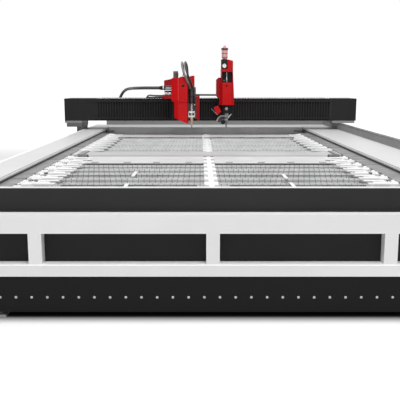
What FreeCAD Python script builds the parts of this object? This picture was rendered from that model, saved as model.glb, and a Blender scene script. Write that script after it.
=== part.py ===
import FreeCAD
import Part
import Sketcher

import math
import os
import re

# A gantry waterjet cutting machine: a long open water tank with a bed of slats,
# a travelling beam across it, and two cutting heads on the beam.
# Row frame: millimetres, +Z up, the front end at -Y, the origin on the floor under the middle.

document = FreeCAD.newDocument("Waterjet")
sheet = document.addObject("Spreadsheet::Sheet", "Sizes")

# Driving sizes
SIZES = {
    # water tank, inside faces
    "tank_wide": 3308,
    "tank_long": 6620,
    "plate_thick": 10,
    "tank_base": 150,
    # rim and deck plates
    "deck_top": 912,
    "deck_left_wide": 335,
    "deck_right_wide": 495,
    "deck_back_long": 769,
    "rim_front_long": 83,
    "guide_thick": 73,
    "guide_high": 78,
    "guide_back_inset": 200,
    # cladding of the four sides
    "skirt_low": 42,
    "skirt_thick": 8,
    "skirt_set": 6,
    "frame_low": 303,
    "window_low": 386,
    "window_high": 611,
    "frame_high": 747,
    "recess_deep": 87,
    "backing_thick": 28,
    "band_lap": 45,
    "post_wide": 94,
    "bay_pitch": 1240,
    # base beams and feet
    "base_beam_wide": 120,
    "base_beam_count": 7,
    "sill_wide": 100,
    "foot_side": 1530,
    "foot_wide": 120,
    "foot_thick": 18,
    "stud_radius": 18,
    "nut_radius": 30,
    "nut_high": 14,
    # bed
    "bed_top": 850,
    "bed_front_gap": 90,
    "bed_back_gap": 811,
    "near_gap": 125,
    "comb_deep": 110,
    "comb_thick": 10,
    "grip_wide": 360,
    "grip_strip": 110,
    "grip_deep": 90,
    "grip_rise": 8,
    "tooth_root": 175,
    "tooth_tip": 90,
    "spine_wide": 110,
    "spine_core": 42,
    "spine_rise": 4,
    "spine_tab": 155,
    "spine_foot_wide": 30,
    "near_rows": 8,
    "far_rows": 9,
    "cross_beam_from_front": 2860,
    "cross_beam_wide": 410,
    "cross_beam_deep": 120,
    "bracket_long": 193,
    "bracket_rise": 12,
    # gantry
    "beam_over_left": 281,
    "beam_over_right": 198,
    "park_gap": 580.5,
    "left_rail_wide": 45,
    "left_rail_high": 40,
    "right_rail_wide": 35,
    "right_rail_high": 25,
    "rail_groove": 6,
    "rail_end": 20,
    "run_gap": 0.5,
    "beam_low": 1055,
    "beam_high": 1407,
    "beam_deep": 620,
    "bellows_deep": 34,
    "bellows_fold": 42,
    "fold_flat": 8,
    "fold_deep": 20,
    "cover_left_long": 523,
    "cover_right_long": 398,
    "leg_thick": 94,
    "leg_clear": 8,
    "leg_inset": 60,
    "drive_box_low": 957,
    "drive_box_high": 1020,
    "drive_box_out": 28,
    "carriage_inset": 20,
    "head_rail_thick": 16,
    "head_rail_high": 24,
    "head_rail_inset": 27,
    "head_rail_end": 415,
    # heads, both measured from the plane of their nozzles
    "head_reach": 350,
    "carriage_thick": 60,
    "carriage_low": 15,
    "housing_ahead": 110,
    "facet_deep": 55,
    "box_ahead": 60,
    "box_back": 20,
    # left head, widths taken from its nozzle
    "tip_left": 296,
    "tip_high": 970,
    "left_plate_out": 324,
    "left_plate_in": 56,
    "left_out": 310,
    "left_in": 44,
    "left_lower_out": 266,
    "left_lower_in": 53,
    "left_facet": 207,
    "recess_edge": 63,
    "recess_out": 39,
    "recess_ahead": 12,
    "left_top_low": 1714,
    "motor_seat": 1729,
    "gland_seat": 1748,
    "left_top_high": 1764,
    "left_recess_low": 1575,
    "left_upper_low": 1385,
    "left_upper_turn": 1355,
    "left_lower_low": 1119,
    "left_low": 1029,
    "gland_flat_out": 166,
    "gland_flat_in": 34,
    "motor_flat_out": 298,
    "motor_flat_in": 196,
    "side_box_out": 422,
    "side_box_low": 1612,
    "side_box_edge": 1692,
    "manifold_out": 447,
    "manifold_low": 1413,
    "manifold_high": 1475,
    "manifold_ahead": 50,
    "manifold_behind": 90,
    "fitting_high": 62,
    "fitting_radius": 24,
    "fitting_pitch": 56,
    "gland_radius": 33,
    "gland_side_high": 1578,
    "gland_back": 20,
    "hose_gland_radius": 24,
    "hose_gland_high": 22,
    "hose_gland_back": 200,
    "grey_gland_out": 124,
    "black_gland_out": 64,
    "motor_radius": 38,
    "motor_out": 247,
    "motor_back": 60,
    "motor_high": 1833,
    "valve_radius": 45,
    "valve_low": 1338,
    "valve_high": 1560,
    "column_radius": 19,
    "wing_wide": 50,
    "wing_deep": 22,
    "wing_low": 1128,
    "wing_high": 1222,
    "wing_thick": 27,
    "wing_pin": 14,
    "tube_radius": 15,
    "tube_neck": 9,
    "tube_taper": 1000,
    "bracket_low": 1100,
    "guard_near": 73,
    "guard_far": 124,
    "guard_low": 1088,
    "guard_high": 1454,
    "guard_cut": 22,
    "guard_ahead": 80,
    # right head
    "tip_right": 242,
    "right_plate_near": 120,
    "right_plate_far": 380,
    "ear_high": 1492,
    "ear_long": 90,
    "right_low": 1318,
    "right_low_near": 132,
    "right_low_far": 364,
    "right_near": 140,
    "right_near_low": 1400,
    "right_far": 347,
    "right_waist": 1660,
    "right_neck_near": 158,
    "right_neck_far": 338,
    "right_neck_low": 1700,
    "gauge_seat": 1865,
    "gauge_far": 254,
    "gauge_high": 2007,
    "gauge_half": 60,
    "cheek_high": 1985,
    "window_near": 170,
    "window_far": 330,
    "window_top": 1821,
    "window_deep": 90,
    "right_facet": 42,
    "right_box_near": 86,
    "right_box_low": 1430,
    "right_box_high": 1735,
    "right_box_cut": 34,
    "hopper_x": 212,
    "hopper_foot": 30,
    "hopper_radius": 46,
    "funnel_high": 28,
    "bowl_high": 120,
    "lid_radius": 52,
    "lid_thick": 25,
    "spout_radius": 16,
    "spout_long": 36,
    "wrist_x": 248,
    "wrist_radius": 82,
    "wrist_low": 1193,
    "wrist_high": 1300,
    "wrist_neck": 50,
    "wrist_box_half": 50,
    "box_far_out": 148,
    "box_far_rise": 84,
    "box_low_out": 96,
    "box_low_drop": 32,
    "box_near_rise": 25,
    "box_high_out": 80,
    "box_high_rise": 112,
    "pivot_x": 193,
    "pivot_high": 1055,
    "arc_ahead": 30,
    "arc_radius": 104,
    "arc_start": 60,
    "arc_sweep": 130,
    "hanger_lap": 30,
    "hanger_set": 2,
    "arc_thick": 24,
    "arc_rim": 22,
    "arc_web": 8,
    "disc_radius": 38,
    "hub_radius": 30,
    "bridge_half": 16,
    "nozzle_radius": 22,
    "nozzle_low": 1030,
    "nozzle_high": 1130,
    "nozzle_tip": 8,
    "nozzle_root": 11,
    # hoses
    "hose_radius": 13,
    "conduit_radius": 24,
    "cable_radius": 14,
    "valve_hose_ahead": 26,
    "valve_hose_lift": 8,
    "cable_down": 26,
    "clamp_half": 36,
    "clamp_high": 60,
}

# Places worked out from the driving sizes
PLACES = {
    "total_long": "rim_front_long + tank_long + deck_back_long + guide_thick + 2 * frame_out",
    "frame_out": "recess_deep + backing_thick",
    "front_face": "-total_long / 2",
    "back_face": "total_long / 2",
    "front_plane": "front_face + frame_out",
    "back_plane": "back_face - frame_out",
    "tank_front": "front_plane + rim_front_long",
    "tank_back": "tank_front + tank_long",
    "tank_middle": "(deck_left_wide + beam_over_left - deck_right_wide - guide_thick - beam_over_right) / 2",
    "tank_left": "tank_middle - tank_wide / 2",
    "tank_right": "tank_middle + tank_wide / 2",
    "left_plane": "tank_left - deck_left_wide",
    "right_edge": "tank_right + deck_right_wide",
    "right_plane": "right_edge + guide_thick",
    "left_face": "left_plane - frame_out",
    "right_face": "right_plane + frame_out",
    "left_inner": "left_plane + plate_thick",
    "right_inner": "right_plane - plate_thick",
    "front_inner": "front_plane + plate_thick",
    "back_inner": "back_plane - plate_thick",
    "deck_low": "deck_top - plate_thick",
    "guide_top": "deck_top + guide_high",
    "guide_back_edge": "back_plane - guide_thick",
    "floor_top": "tank_base + plate_thick",
    "skirt_in": "skirt_set + skirt_thick",
    "cross_beam_front": "tank_front + cross_beam_from_front - cross_beam_wide / 2",
    "cross_beam_back": "tank_front + cross_beam_from_front + cross_beam_wide / 2",
    "comb_low": "bed_top - comb_deep",
    "beam_left": "left_plane - beam_over_left",
    "beam_right": "right_plane + beam_over_right",
    "beam_front": "tank_back - park_gap",
    "beam_back": "beam_front + beam_deep",
    "left_cover_end": "beam_left + cover_left_long",
    "right_cover_end": "beam_right - cover_right_long",
    "leg_in": "left_plane - leg_clear",
    "leg_out": "leg_in - leg_thick",
    "left_rail_x": "leg_in - leg_thick / 2",
    "left_rail_top": "frame_high + left_rail_high",
    "right_rail_x": "right_edge + guide_thick / 2",
    "right_rail_top": "guide_top + right_rail_high",
    "rail_face": "beam_front - head_rail_thick",
    "carriage_back": "rail_face - run_gap",
    "carriage_front": "carriage_back - carriage_thick",
    "plate_heights_low": "beam_low + carriage_low",
    "plate_heights_high": "beam_high - carriage_low",
    "head_front": "beam_front - head_reach",
    "housing_back": "carriage_front - run_gap",
    "housing_front": "head_front - housing_ahead",
    "hopper_shoulder": "gauge_high + funnel_high",
    "hopper_top": "hopper_shoulder + bowl_high",
    "lid_high": "hopper_top + lid_thick",
    "spout_high": "lid_high + spout_long",
    "arc_front": "head_front + arc_ahead",
    "arc_back": "arc_front + arc_thick",
}

for row, (name, value) in enumerate(SIZES.items(), start=1):
    sheet.set(f"A{row}", name)
    sheet.set(f"B{row}", str(value))
    sheet.setAlias(f"B{row}", name)
document.recompute()

subparts = []


def sized(text):
    """Spell out the places in an expression and point its size names at the sheet."""
    text = str(text)

    def spell(match):
        word = match.group()
        if word in PLACES:
            return "(" + sized(PLACES[word]) + ")"
        if word in SIZES:
            return "Sizes." + word
        return word

    return re.sub(r"(?<![\w.])[a-z][a-z_]*", spell, text)


def value_of(text):
    """The present value of an expression, in millimetres."""
    return float(sheet.evalExpression(sized(text)))


def keep(item, label):
    """Name a finished piece."""
    item.Label = label
    subparts.append(item)
    return item


def block(name, x_span, y_span, z_span):
    """A rectangular bar or plate between two places along each axis."""
    box = document.addObject("Part::Box", name)
    for side, axis, (low, high) in (
        ("Length", "x", x_span),
        ("Width", "y", y_span),
        ("Height", "z", z_span),
    ):
        box.setExpression(side, sized(f"({high}) - ({low})"))
        box.setExpression(f".Placement.Base.{axis}", sized(low))
    return box


def rod(name, radius, x_place, y_place, z_span):
    """An upright round bar."""
    bar = document.addObject("Part::Cylinder", name)
    bar.setExpression("Radius", sized(radius))
    bar.setExpression("Height", sized(f"({z_span[1]}) - ({z_span[0]})"))
    bar.setExpression(".Placement.Base.x", sized(x_place))
    bar.setExpression(".Placement.Base.y", sized(y_place))
    bar.setExpression(".Placement.Base.z", sized(z_span[0]))
    return bar


def together(label, members):
    """Like pieces that share a node."""
    group = document.addObject("Part::Compound", label)
    group.Links = members
    return keep(group, label)


def fused(name, members):
    """Pieces welded or cast as one."""
    whole = document.addObject("Part::MultiFuse", name)
    whole.Shapes = members
    return whole


def origin_plane(body, role):
    """One of a body's own origin planes or axes."""
    return [item for item in body.Origin.OriginFeatures if item.Role == role][0]


def outline(body, name, role, points):
    """A closed outline of straight sides on an origin plane, each corner tied to the sheet."""
    sketch = body.newObject("Sketcher::SketchObject", name)
    sketch.AttachmentSupport = [(origin_plane(body, role), "")]
    sketch.MapMode = "FlatFace"
    corners = [FreeCAD.Vector(value_of(across), value_of(up), 0) for across, up in points]
    count = len(corners)
    sketch.addGeometry([
        Part.LineSegment(corners[index], corners[(index + 1) % count]) for index in range(count)
    ])
    joins = [
        Sketcher.Constraint("Coincident", index, 2, (index + 1) % count, 1)
        for index in range(count)
    ]
    ties = []
    texts = []
    for index, (across, up) in enumerate(points):
        ties.append(Sketcher.Constraint("DistanceX", -1, 1, index, 1, corners[index].x))
        ties.append(Sketcher.Constraint("DistanceY", -1, 1, index, 1, corners[index].y))
        texts += [across, up]
    sketch.addConstraint(joins + ties)
    for place, text in enumerate(texts, start=count):
        sketch.setExpression(f"Constraints[{place}]", sized(text))
    return sketch


def extruded(name, role, points, span):
    """An outline carried straight from one place to another along the third axis."""
    body = document.addObject("PartDesign::Body", name)
    sketch = outline(body, name + "_outline", role, points)
    pad = body.newObject("PartDesign::Pad", name + "_pad")
    pad.Profile = sketch
    pad.setExpression("Length", sized(f"({span[1]}) - ({span[0]})"))
    body.Tip = pad
    axis, start = {
        "XY_Plane": ("z", span[0]),
        "XZ_Plane": ("y", span[1]),
        "YZ_Plane": ("x", span[0]),
    }[role]
    body.setExpression(f".Placement.Base.{axis}", sized(start))
    return body


def turned(name, points, x_place, y_place):
    """A half outline of radius and height, turned about an upright axis."""
    body = document.addObject("PartDesign::Body", name)
    sketch = outline(body, name + "_outline", "XZ_Plane", points)
    spin = body.newObject("PartDesign::Revolution", name + "_turn")
    spin.Profile = sketch
    spin.ReferenceAxis = (origin_plane(body, "Z_Axis"), [""])
    spin.Angle = 360
    body.Tip = spin
    body.setExpression(".Placement.Base.x", sized(x_place))
    body.setExpression(".Placement.Base.y", sized(y_place))
    return body


# Tank: floor and four inner walls of stainless plate
keep(block("tank_floor", ("tank_left", "tank_right"), ("tank_front", "tank_back"),
           ("tank_base", "floor_top")), "tank_floor")
wall_heights = ("tank_base", "deck_low")
tank_ends = ("tank_front - plate_thick", "tank_back + plate_thick")
keep(block("tank_wall_left", ("tank_left - plate_thick", "tank_left"), tank_ends, wall_heights),
     "tank_wall_left")
keep(block("tank_wall_right", ("tank_right", "tank_right + plate_thick"), tank_ends, wall_heights),
     "tank_wall_right")
keep(block("tank_wall_front", ("tank_left", "tank_right"),
           ("tank_front - plate_thick", "tank_front"), wall_heights), "tank_wall_front")
keep(block("tank_wall_back", ("tank_left", "tank_right"),
           ("tank_back", "tank_back + plate_thick"), wall_heights), "tank_wall_back")

# Deck: plates round the tank, mitred where the side plates meet the back one
deck_heights = ("deck_low", "deck_top")
keep(extruded("deck_left", "XY_Plane", [
    ("left_inner", "front_inner"),
    ("tank_left", "front_inner"),
    ("tank_left", "tank_back"),
    ("left_inner", "guide_back_edge"),
], deck_heights), "deck_left")
keep(extruded("deck_right", "XY_Plane", [
    ("tank_right", "front_inner"),
    ("right_inner", "front_inner"),
    ("right_inner", "back_inner"),
    ("right_edge", "guide_back_edge"),
    ("tank_right", "tank_back"),
], deck_heights), "deck_right")
keep(extruded("deck_back", "XY_Plane", [
    ("tank_left", "tank_back"),
    ("tank_right", "tank_back"),
    ("right_edge", "guide_back_edge"),
    ("right_inner", "back_inner"),
    ("left_inner", "back_inner"),
    ("left_inner", "guide_back_edge"),
], deck_heights), "deck_back")
keep(block("front_rim", ("tank_left", "tank_right"), ("front_inner", "tank_front"),
           deck_heights), "front_rim")

# Raised guide walls along the right side and across the back, standing on the deck
keep(block("guide_wall_right", ("right_edge", "right_plane"), ("front_plane", "back_plane"),
           ("deck_top", "guide_top")), "guide_wall_right")
keep(block("guide_wall_back", ("left_plane + guide_back_inset", "right_edge"),
           ("guide_back_edge", "back_plane"), ("deck_top", "guide_top")), "guide_wall_back")


def ring(label, inward, outward, z_span):
    """Four bars round the machine, between two distances out from its band planes."""
    left = f"left_plane - ({outward})"
    left_in = f"left_plane - ({inward})"
    right = f"right_plane + ({outward})"
    right_in = f"right_plane + ({inward})"
    front = f"front_plane - ({outward})"
    front_in = f"front_plane - ({inward})"
    back = f"back_plane + ({outward})"
    back_in = f"back_plane + ({inward})"
    return together(label, [
        block(label + "_front", (left, right), (front, front_in), z_span),
        block(label + "_back", (left, right), (back_in, back), z_span),
        block(label + "_left", (left, left_in), (front_in, back_in), z_span),
        block(label + "_right", (right_in, right), (front_in, back_in), z_span),
    ])


# Cladding: black bands, pale frame of rails and posts over dark backing plates, black skirts
ring("bands", "-plate_thick", "0", ("frame_high - band_lap", "deck_top"))
ring("backing_plates", "0", "backing_thick", ("frame_low", "frame_high"))
ring("top_rails", "backing_thick", "frame_out", ("window_high", "frame_high"))
ring("bottom_rails", "backing_thick", "frame_out", ("frame_low", "window_low"))
ring("skirts", "frame_out - skirt_in", "frame_out - skirt_set", ("skirt_low", "frame_low"))
ring("sills", "0", "sill_wide", ("tank_base", "frame_low"))

# Posts between the windows: three on each end, more along each side, and four at the corners
post_heights = ("window_low", "window_high")
left_post = ("left_face", "left_plane - backing_thick")
right_post = ("right_plane + backing_thick", "right_face")
front_post = ("front_face", "front_plane - backing_thick")
back_post = ("back_plane + backing_thick", "back_face")


def post_width(middle):
    """The two sides of a post about its middle."""
    return f"{middle} - post_wide / 2", f"{middle} + post_wide / 2"


posts = []
for step in (-1, 0, 1):
    across = post_width(f"tank_middle + {step} * bay_pitch")
    posts.append(block("post_front", across, front_post, post_heights))
    posts.append(block("post_back", across, back_post, post_heights))
for step in (-2, -1, 0, 1, 2):
    along = post_width(f"{step} * bay_pitch")
    posts.append(block("post_left", left_post, along, post_heights))
    posts.append(block("post_right", right_post, along, post_heights))
for x_span in (left_post, right_post):
    for y_span in (front_post, back_post):
        posts.append(block("post_corner", x_span, y_span, post_heights))
together("posts", posts)


def hexagon(name, radius, x_place, y_place, z_span):
    """An upright bar with six flats."""
    bar = document.addObject("Part::Prism", name)
    bar.Polygon = 6
    bar.setExpression("Circumradius", sized(radius))
    bar.setExpression("Height", sized(f"({z_span[1]}) - ({z_span[0]})"))
    bar.setExpression(".Placement.Base.x", sized(x_place))
    bar.setExpression(".Placement.Base.y", sized(y_place))
    bar.setExpression(".Placement.Base.z", sized(z_span[0]))
    return bar


# Base: cross beams from skirt to skirt under the tank, each on two levelling feet with jack bolts
beam_count = SIZES["base_beam_count"]
base_span = ("left_face + skirt_in", "right_face - skirt_in")
beams = []
feet = []
for index in range(beam_count):
    first = "front_plane - sill_wide + base_beam_wide / 2"
    middle = f"({first}) * (1 - 2 * {index} / (base_beam_count - 1))"
    beams.append(block("base_beam", base_span,
                       (f"{middle} - base_beam_wide / 2", f"{middle} + base_beam_wide / 2"),
                       ("skirt_low", "tank_base")))
    for side in (-1, 1):
        across = f"tank_middle + {side} * foot_side"
        feet.append(fused("foot", [
            block("foot_pad", (f"{across} - foot_wide / 2", f"{across} + foot_wide / 2"),
                  (f"{middle} - foot_wide / 2", f"{middle} + foot_wide / 2"), (0, "foot_thick")),
            hexagon("foot_stud", "stud_radius", across, middle, ("foot_thick", "skirt_low")),
            hexagon("foot_nut", "nut_radius", across, middle,
                    ("skirt_low - nut_high", "skirt_low")),
        ]))
together("base_beams", beams)
together("levelling_feet", feet)


def rail_profile(middle, wide, low, high):
    """The section of a linear rail: a bar with a groove along each side."""
    out = f"{wide} / 2"
    waist = f"{wide} / 2 - rail_groove"
    rise = f"(({high}) - ({low}))"
    return [
        (f"{middle} - {out}", low),
        (f"{middle} + {out}", low),
        (f"{middle} + {out}", f"{low} + 0.4 * {rise}"),
        (f"{middle} + {waist}", f"{low} + 0.5 * {rise}"),
        (f"{middle} + {waist}", f"{low} + 0.65 * {rise}"),
        (f"{middle} + {out}", f"{low} + 0.75 * {rise}"),
        (f"{middle} + {out}", high),
        (f"{middle} - {out}", high),
        (f"{middle} - {out}", f"{low} + 0.75 * {rise}"),
        (f"{middle} - {waist}", f"{low} + 0.65 * {rise}"),
        (f"{middle} - {waist}", f"{low} + 0.5 * {rise}"),
        (f"{middle} - {out}", f"{low} + 0.4 * {rise}"),
    ]


# Rails: one on the left ledge, one on the right guide wall
rail_ends = ("front_plane + rail_end", "back_plane - rail_end")
keep(extruded("left_rail", "XZ_Plane",
              rail_profile("left_rail_x", "left_rail_wide", "frame_high", "left_rail_top"),
              rail_ends), "left_rail")
keep(extruded("right_rail", "XZ_Plane",
              rail_profile("right_rail_x", "right_rail_wide", "guide_top", "right_rail_top"),
              rail_ends), "right_rail")

# Bed: a wide cross beam near the middle, held at each end by a bracket on the tank wall
cross_span = ("cross_beam_front", "cross_beam_back")
cross_heights = ("bed_top - cross_beam_deep", "bed_top")
bracket_heights = ("bed_top - cross_beam_deep", "bed_top + bracket_rise")
keep(block("mid_crossbeam", ("tank_left + bracket_long", "tank_right - bracket_long"), cross_span,
           cross_heights), "mid_crossbeam")
together("crossbeam_brackets", [
    block("bracket_left", ("tank_left", "tank_left + bracket_long"), cross_span, bracket_heights),
    block("bracket_right", ("tank_right - bracket_long", "tank_right"), cross_span,
          bracket_heights),
])

# The two sections of the bed, each with its rows of combs from side grip to spine
SECTIONS = (
    ("near", "tank_front + bed_front_gap", "cross_beam_front - near_gap", "near_rows"),
    ("far", "cross_beam_back", "tank_back - bed_back_gap", "far_rows"),
)
combs = []
for section, start, end, rows in SECTIONS:
    for index in range(SIZES[rows]):
        middle = f"({start}) + {index + 0.5} / {rows} * (({end}) - ({start}))"
        y_span = (f"{middle} - comb_thick / 2", f"{middle} + comb_thick / 2")
        z_span = ("comb_low", "bed_top")
        combs.append(block(f"comb_{section}_left",
                           ("tank_left + grip_wide", "tank_middle - spine_wide / 2"),
                           y_span, z_span))
        combs.append(block(f"comb_{section}_right",
                           ("tank_middle + spine_wide / 2", "tank_right - grip_wide"),
                           y_span, z_span))
together("comb_plates", combs)


def toothed(name, strip, tooth, start, end, rows, z_span):
    """A long strip with a tooth at each row: the strip's outline, the first tooth's, and the rest.

    The outlines are in plan; the tooth's is given for a middle that the row's place replaces.
    """
    body = document.addObject("PartDesign::Body", name)
    run = f"(({end}) - ({start}))"
    first = f"(({start}) + {run} / (2 * {rows}))"
    strip_outline = outline(body, name + "_strip_outline", "XY_Plane", [
        (strip[0], start),
        (strip[1], start),
        (strip[1], end),
        (strip[0], end),
    ])
    strip_pad = body.newObject("PartDesign::Pad", name + "_strip")
    strip_pad.Profile = strip_outline
    strip_pad.setExpression("Length", sized(f"({z_span[1]}) - ({z_span[0]})"))
    tooth_outline = outline(body, name + "_tooth_outline", "XY_Plane", [
        (across, f"{first} + ({along})") for across, along in tooth
    ])
    tooth_pad = body.newObject("PartDesign::Pad", name + "_tooth")
    tooth_pad.Profile = tooth_outline
    tooth_pad.setExpression("Length", sized(f"({z_span[1]}) - ({z_span[0]})"))
    teeth = body.newObject("PartDesign::LinearPattern", name + "_teeth")
    teeth.Originals = [tooth_pad]
    teeth.Direction = (origin_plane(body, "Y_Axis"), [""])
    teeth.Mode = "Spacing"
    teeth.setExpression("Offset", sized(f"{run} / {rows}"))
    teeth.setExpression("Occurrences", sized(rows))
    body.Tip = teeth
    body.setExpression(".Placement.Base.z", sized(z_span[0]))
    return body


# Spine and side grips: strips with a tooth at each row of combs, which slot in between the teeth
spines = []
grips = []
for section, start, end, rows in SECTIONS:
    spines.append(toothed(
        f"spine_{section}",
        ("tank_middle - spine_core / 2", "tank_middle + spine_core / 2"),
        [
            ("tank_middle - spine_wide / 2", "-spine_tab / 2"),
            ("tank_middle + spine_wide / 2", "-spine_tab / 2"),
            ("tank_middle + spine_wide / 2", "spine_tab / 2"),
            ("tank_middle - spine_wide / 2", "spine_tab / 2"),
        ],
        start, end, rows, ("comb_low", "bed_top + spine_rise")))
    for side, wall, sign in (("left", "tank_left", ""), ("right", "tank_right", "-")):
        strip = [f"{wall}", f"{wall} + {sign}1 * grip_strip"]
        tooth = [
            (f"{wall} + {sign}1 * grip_strip / 2", "-tooth_root / 2"),
            (f"{wall} + {sign}1 * grip_strip", "-tooth_root / 2"),
            (f"{wall} + {sign}1 * grip_wide", "-tooth_tip / 2"),
            (f"{wall} + {sign}1 * grip_wide", "tooth_tip / 2"),
            (f"{wall} + {sign}1 * grip_strip", "tooth_root / 2"),
            (f"{wall} + {sign}1 * grip_strip / 2", "tooth_root / 2"),
        ]
        grips.append(toothed(f"grip_{section}_{side}", strip, tooth, start, end, rows,
                             ("bed_top - grip_deep", "bed_top + grip_rise")))
together("spine", spines)
together("side_grips", grips)
foot_span = ("tank_middle - spine_foot_wide / 2", "tank_middle + spine_foot_wide / 2")
together("spine_feet", [
    block(f"spine_foot_{section}", foot_span, (start, end), ("floor_top", "comb_low"))
    for section, start, end, rows in SECTIONS
])

# Gantry: a steel beam behind a pleated cover, with plain covers over its ends
beam_span = ("beam_front", "beam_back")
beam_heights = ("beam_low", "beam_high")
keep(block("gantry_beam", ("left_cover_end", "right_cover_end"),
           ("beam_front + bellows_deep", "beam_back"), beam_heights), "gantry_beam")
together("end_covers", [
    block("end_cover_left", ("beam_left", "left_cover_end"), beam_span, beam_heights),
    block("end_cover_right", ("right_cover_end", "beam_right"), beam_span, beam_heights),
])

# The cover's front has a groove for each fold, repeated along the beam
bellows = document.addObject("PartDesign::Body", "bellows_cover")
bellows_outline = outline(bellows, "bellows_outline", "XY_Plane", [
    ("left_cover_end", "beam_front"),
    ("right_cover_end", "beam_front"),
    ("right_cover_end", "beam_front + bellows_deep"),
    ("left_cover_end", "beam_front + bellows_deep"),
])
bellows_pad = bellows.newObject("PartDesign::Pad", "bellows_pad")
bellows_pad.Profile = bellows_outline
bellows_pad.setExpression("Length", sized("beam_high - beam_low"))
fold_outline = outline(bellows, "fold_outline", "XY_Plane", [
    ("left_cover_end + fold_flat", "beam_front - 1"),
    ("left_cover_end + bellows_fold", "beam_front - 1"),
    ("left_cover_end + (bellows_fold + fold_flat) / 2", "beam_front + fold_deep"),
])
fold_cut = bellows.newObject("PartDesign::Pocket", "fold_cut")
fold_cut.Profile = fold_outline
fold_cut.setExpression("Length", sized("beam_high - beam_low"))
fold_cut.Reversed = True
folds = bellows.newObject("PartDesign::LinearPattern", "folds")
folds.Originals = [fold_cut]
folds.Direction = (origin_plane(bellows, "X_Axis"), [""])
folds.Mode = "Spacing"
folds.setExpression("Offset", sized("bellows_fold"))
folds.setExpression("Occurrences", sized("floor((right_cover_end - left_cover_end) / bellows_fold)"))
bellows.Tip = folds
bellows.setExpression(".Placement.Base.z", sized("beam_low"))
keep(bellows, "bellows_cover")

head_rail_span = ("beam_left + head_rail_end", "beam_right - head_rail_end")
together("head_rails", [
    block("head_rail_low", head_rail_span, ("rail_face", "beam_front"),
          ("beam_low + head_rail_inset", "beam_low + head_rail_inset + head_rail_high")),
    block("head_rail_high", head_rail_span, ("rail_face", "beam_front"),
          ("beam_high - head_rail_inset - head_rail_high", "beam_high - head_rail_inset")),
])
keep(block("left_leg", ("leg_out", "leg_in"), ("beam_front + leg_inset", "beam_back - leg_inset"),
           ("left_rail_top + run_gap", "drive_box_low")), "left_leg")
keep(block("left_drive_box", ("beam_left + drive_box_out", "leg_in"), beam_span,
           ("drive_box_low", "drive_box_high")), "left_drive_box")
keep(block("left_saddle", ("beam_left", "leg_in"), beam_span,
           ("drive_box_high", "beam_low")), "left_saddle")
keep(block("right_carriage", ("right_cover_end + carriage_inset", "beam_right - carriage_inset"),
           beam_span, ("right_rail_top + run_gap", "beam_low")), "right_carriage")


def across_left(distance):
    """A place along the beam, from the left head's nozzle towards the right."""
    return f"(-tip_left + ({distance}))"


def shaped(name, front_points, plan_points, y_span, z_span):
    """A housing with both its front outline and its plan: the part that the two have in common."""
    block_of_both = document.addObject("Part::Common", name)
    block_of_both.Base = extruded(name + "_front", "XZ_Plane", front_points, y_span)
    block_of_both.Tool = extruded(name + "_plan", "XY_Plane", plan_points, z_span)
    return block_of_both


# Left head: carriage plate, and the red housing with its facets and its recess beside the nozzle
plate_depth = ("carriage_front", "carriage_back")
plate_heights = ("plate_heights_low", "plate_heights_high")
keep(block("left_head_plate", (across_left("-left_plate_out"), across_left("left_plate_in")),
           plate_depth, plate_heights), "left_head_plate")
housing_span = ("housing_front", "housing_back")
left_front = [
    (across_left("-left_out"), "left_top_low"),
    (across_left("-left_out"), "left_upper_low"),
    (across_left("-left_lower_out"), "left_upper_turn"),
    (across_left("-left_lower_out"), "left_lower_low"),
    (across_left("-left_lower_in"), "left_low"),
    (across_left("-left_lower_in"), "left_recess_low"),
    (across_left("left_in"), "left_recess_low"),
    (across_left("left_in"), "left_top_high"),
    (across_left("0"), "left_top_high"),
    (across_left("-gland_flat_in"), "gland_seat"),
    (across_left("-gland_flat_out"), "gland_seat"),
    (across_left("-motor_flat_in"), "motor_seat"),
    (across_left("-motor_flat_out"), "motor_seat"),
]
left_plan = [
    (across_left("-left_out"), "housing_back"),
    (across_left("-left_out"), "housing_front + facet_deep"),
    (across_left("-left_facet"), "housing_front"),
    (across_left("-recess_edge"), "housing_front"),
    (across_left("-recess_out"), "head_front + recess_ahead"),
    (across_left("left_in"), "head_front + recess_ahead"),
    (across_left("left_in"), "housing_back"),
]
keep(shaped("left_housing", left_front, left_plan, housing_span, ("left_low", "left_top_high")),
     "left_housing")
together("left_side_box", [
    extruded("side_box", "XZ_Plane", [
        (across_left("-side_box_out"), "side_box_low"),
        (across_left("-left_out"), "side_box_low"),
        (across_left("-left_out"), "left_top_low"),
        (across_left("-side_box_out"), "side_box_edge"),
    ], ("head_front - box_ahead", "housing_back - box_back")),
    block("manifold", (across_left("-manifold_out"), across_left("-left_out")),
          ("head_front - manifold_ahead", "head_front + manifold_behind"),
          ("manifold_low", "manifold_high")),
])
keep(rod("left_motor", "motor_radius", across_left("-motor_out"), "head_front + motor_back",
         ("motor_seat", "motor_high")), "left_motor")

# Fittings: upright ones on the manifold, a side gland for the conduit, two on top for the hoses
side_gland = document.addObject("Part::Cylinder", "side_gland")
side_gland.setExpression("Radius", sized("gland_radius"))
side_gland.setExpression("Height", sized("manifold_out - left_out"))
side_gland.Placement.Rotation = FreeCAD.Rotation(FreeCAD.Vector(0, 1, 0), 90)
side_gland.setExpression(".Placement.Base.x", sized(across_left("-manifold_out")))
side_gland.setExpression(".Placement.Base.y", sized("head_front + gland_back"))
side_gland.setExpression(".Placement.Base.z", sized("gland_side_high"))
grey_hose_x = across_left("-grey_gland_out")
black_hose_x = across_left("-black_gland_out")
hose_gland_y = "head_front + hose_gland_back"
together("left_connectors", [side_gland] + [
    hexagon("fitting", "fitting_radius", across_left(f"-left_out - ({step} + 0.5) * fitting_pitch"),
            "head_front + gland_back", ("manifold_high", "manifold_high + fitting_high"))
    for step in (0, 1)
] + [
    hexagon("hose_gland", "hose_gland_radius", hose_x, hose_gland_y,
            ("gland_seat", "gland_seat + hose_gland_high"))
    for hose_x in (grey_hose_x, black_hose_x)
])


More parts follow.
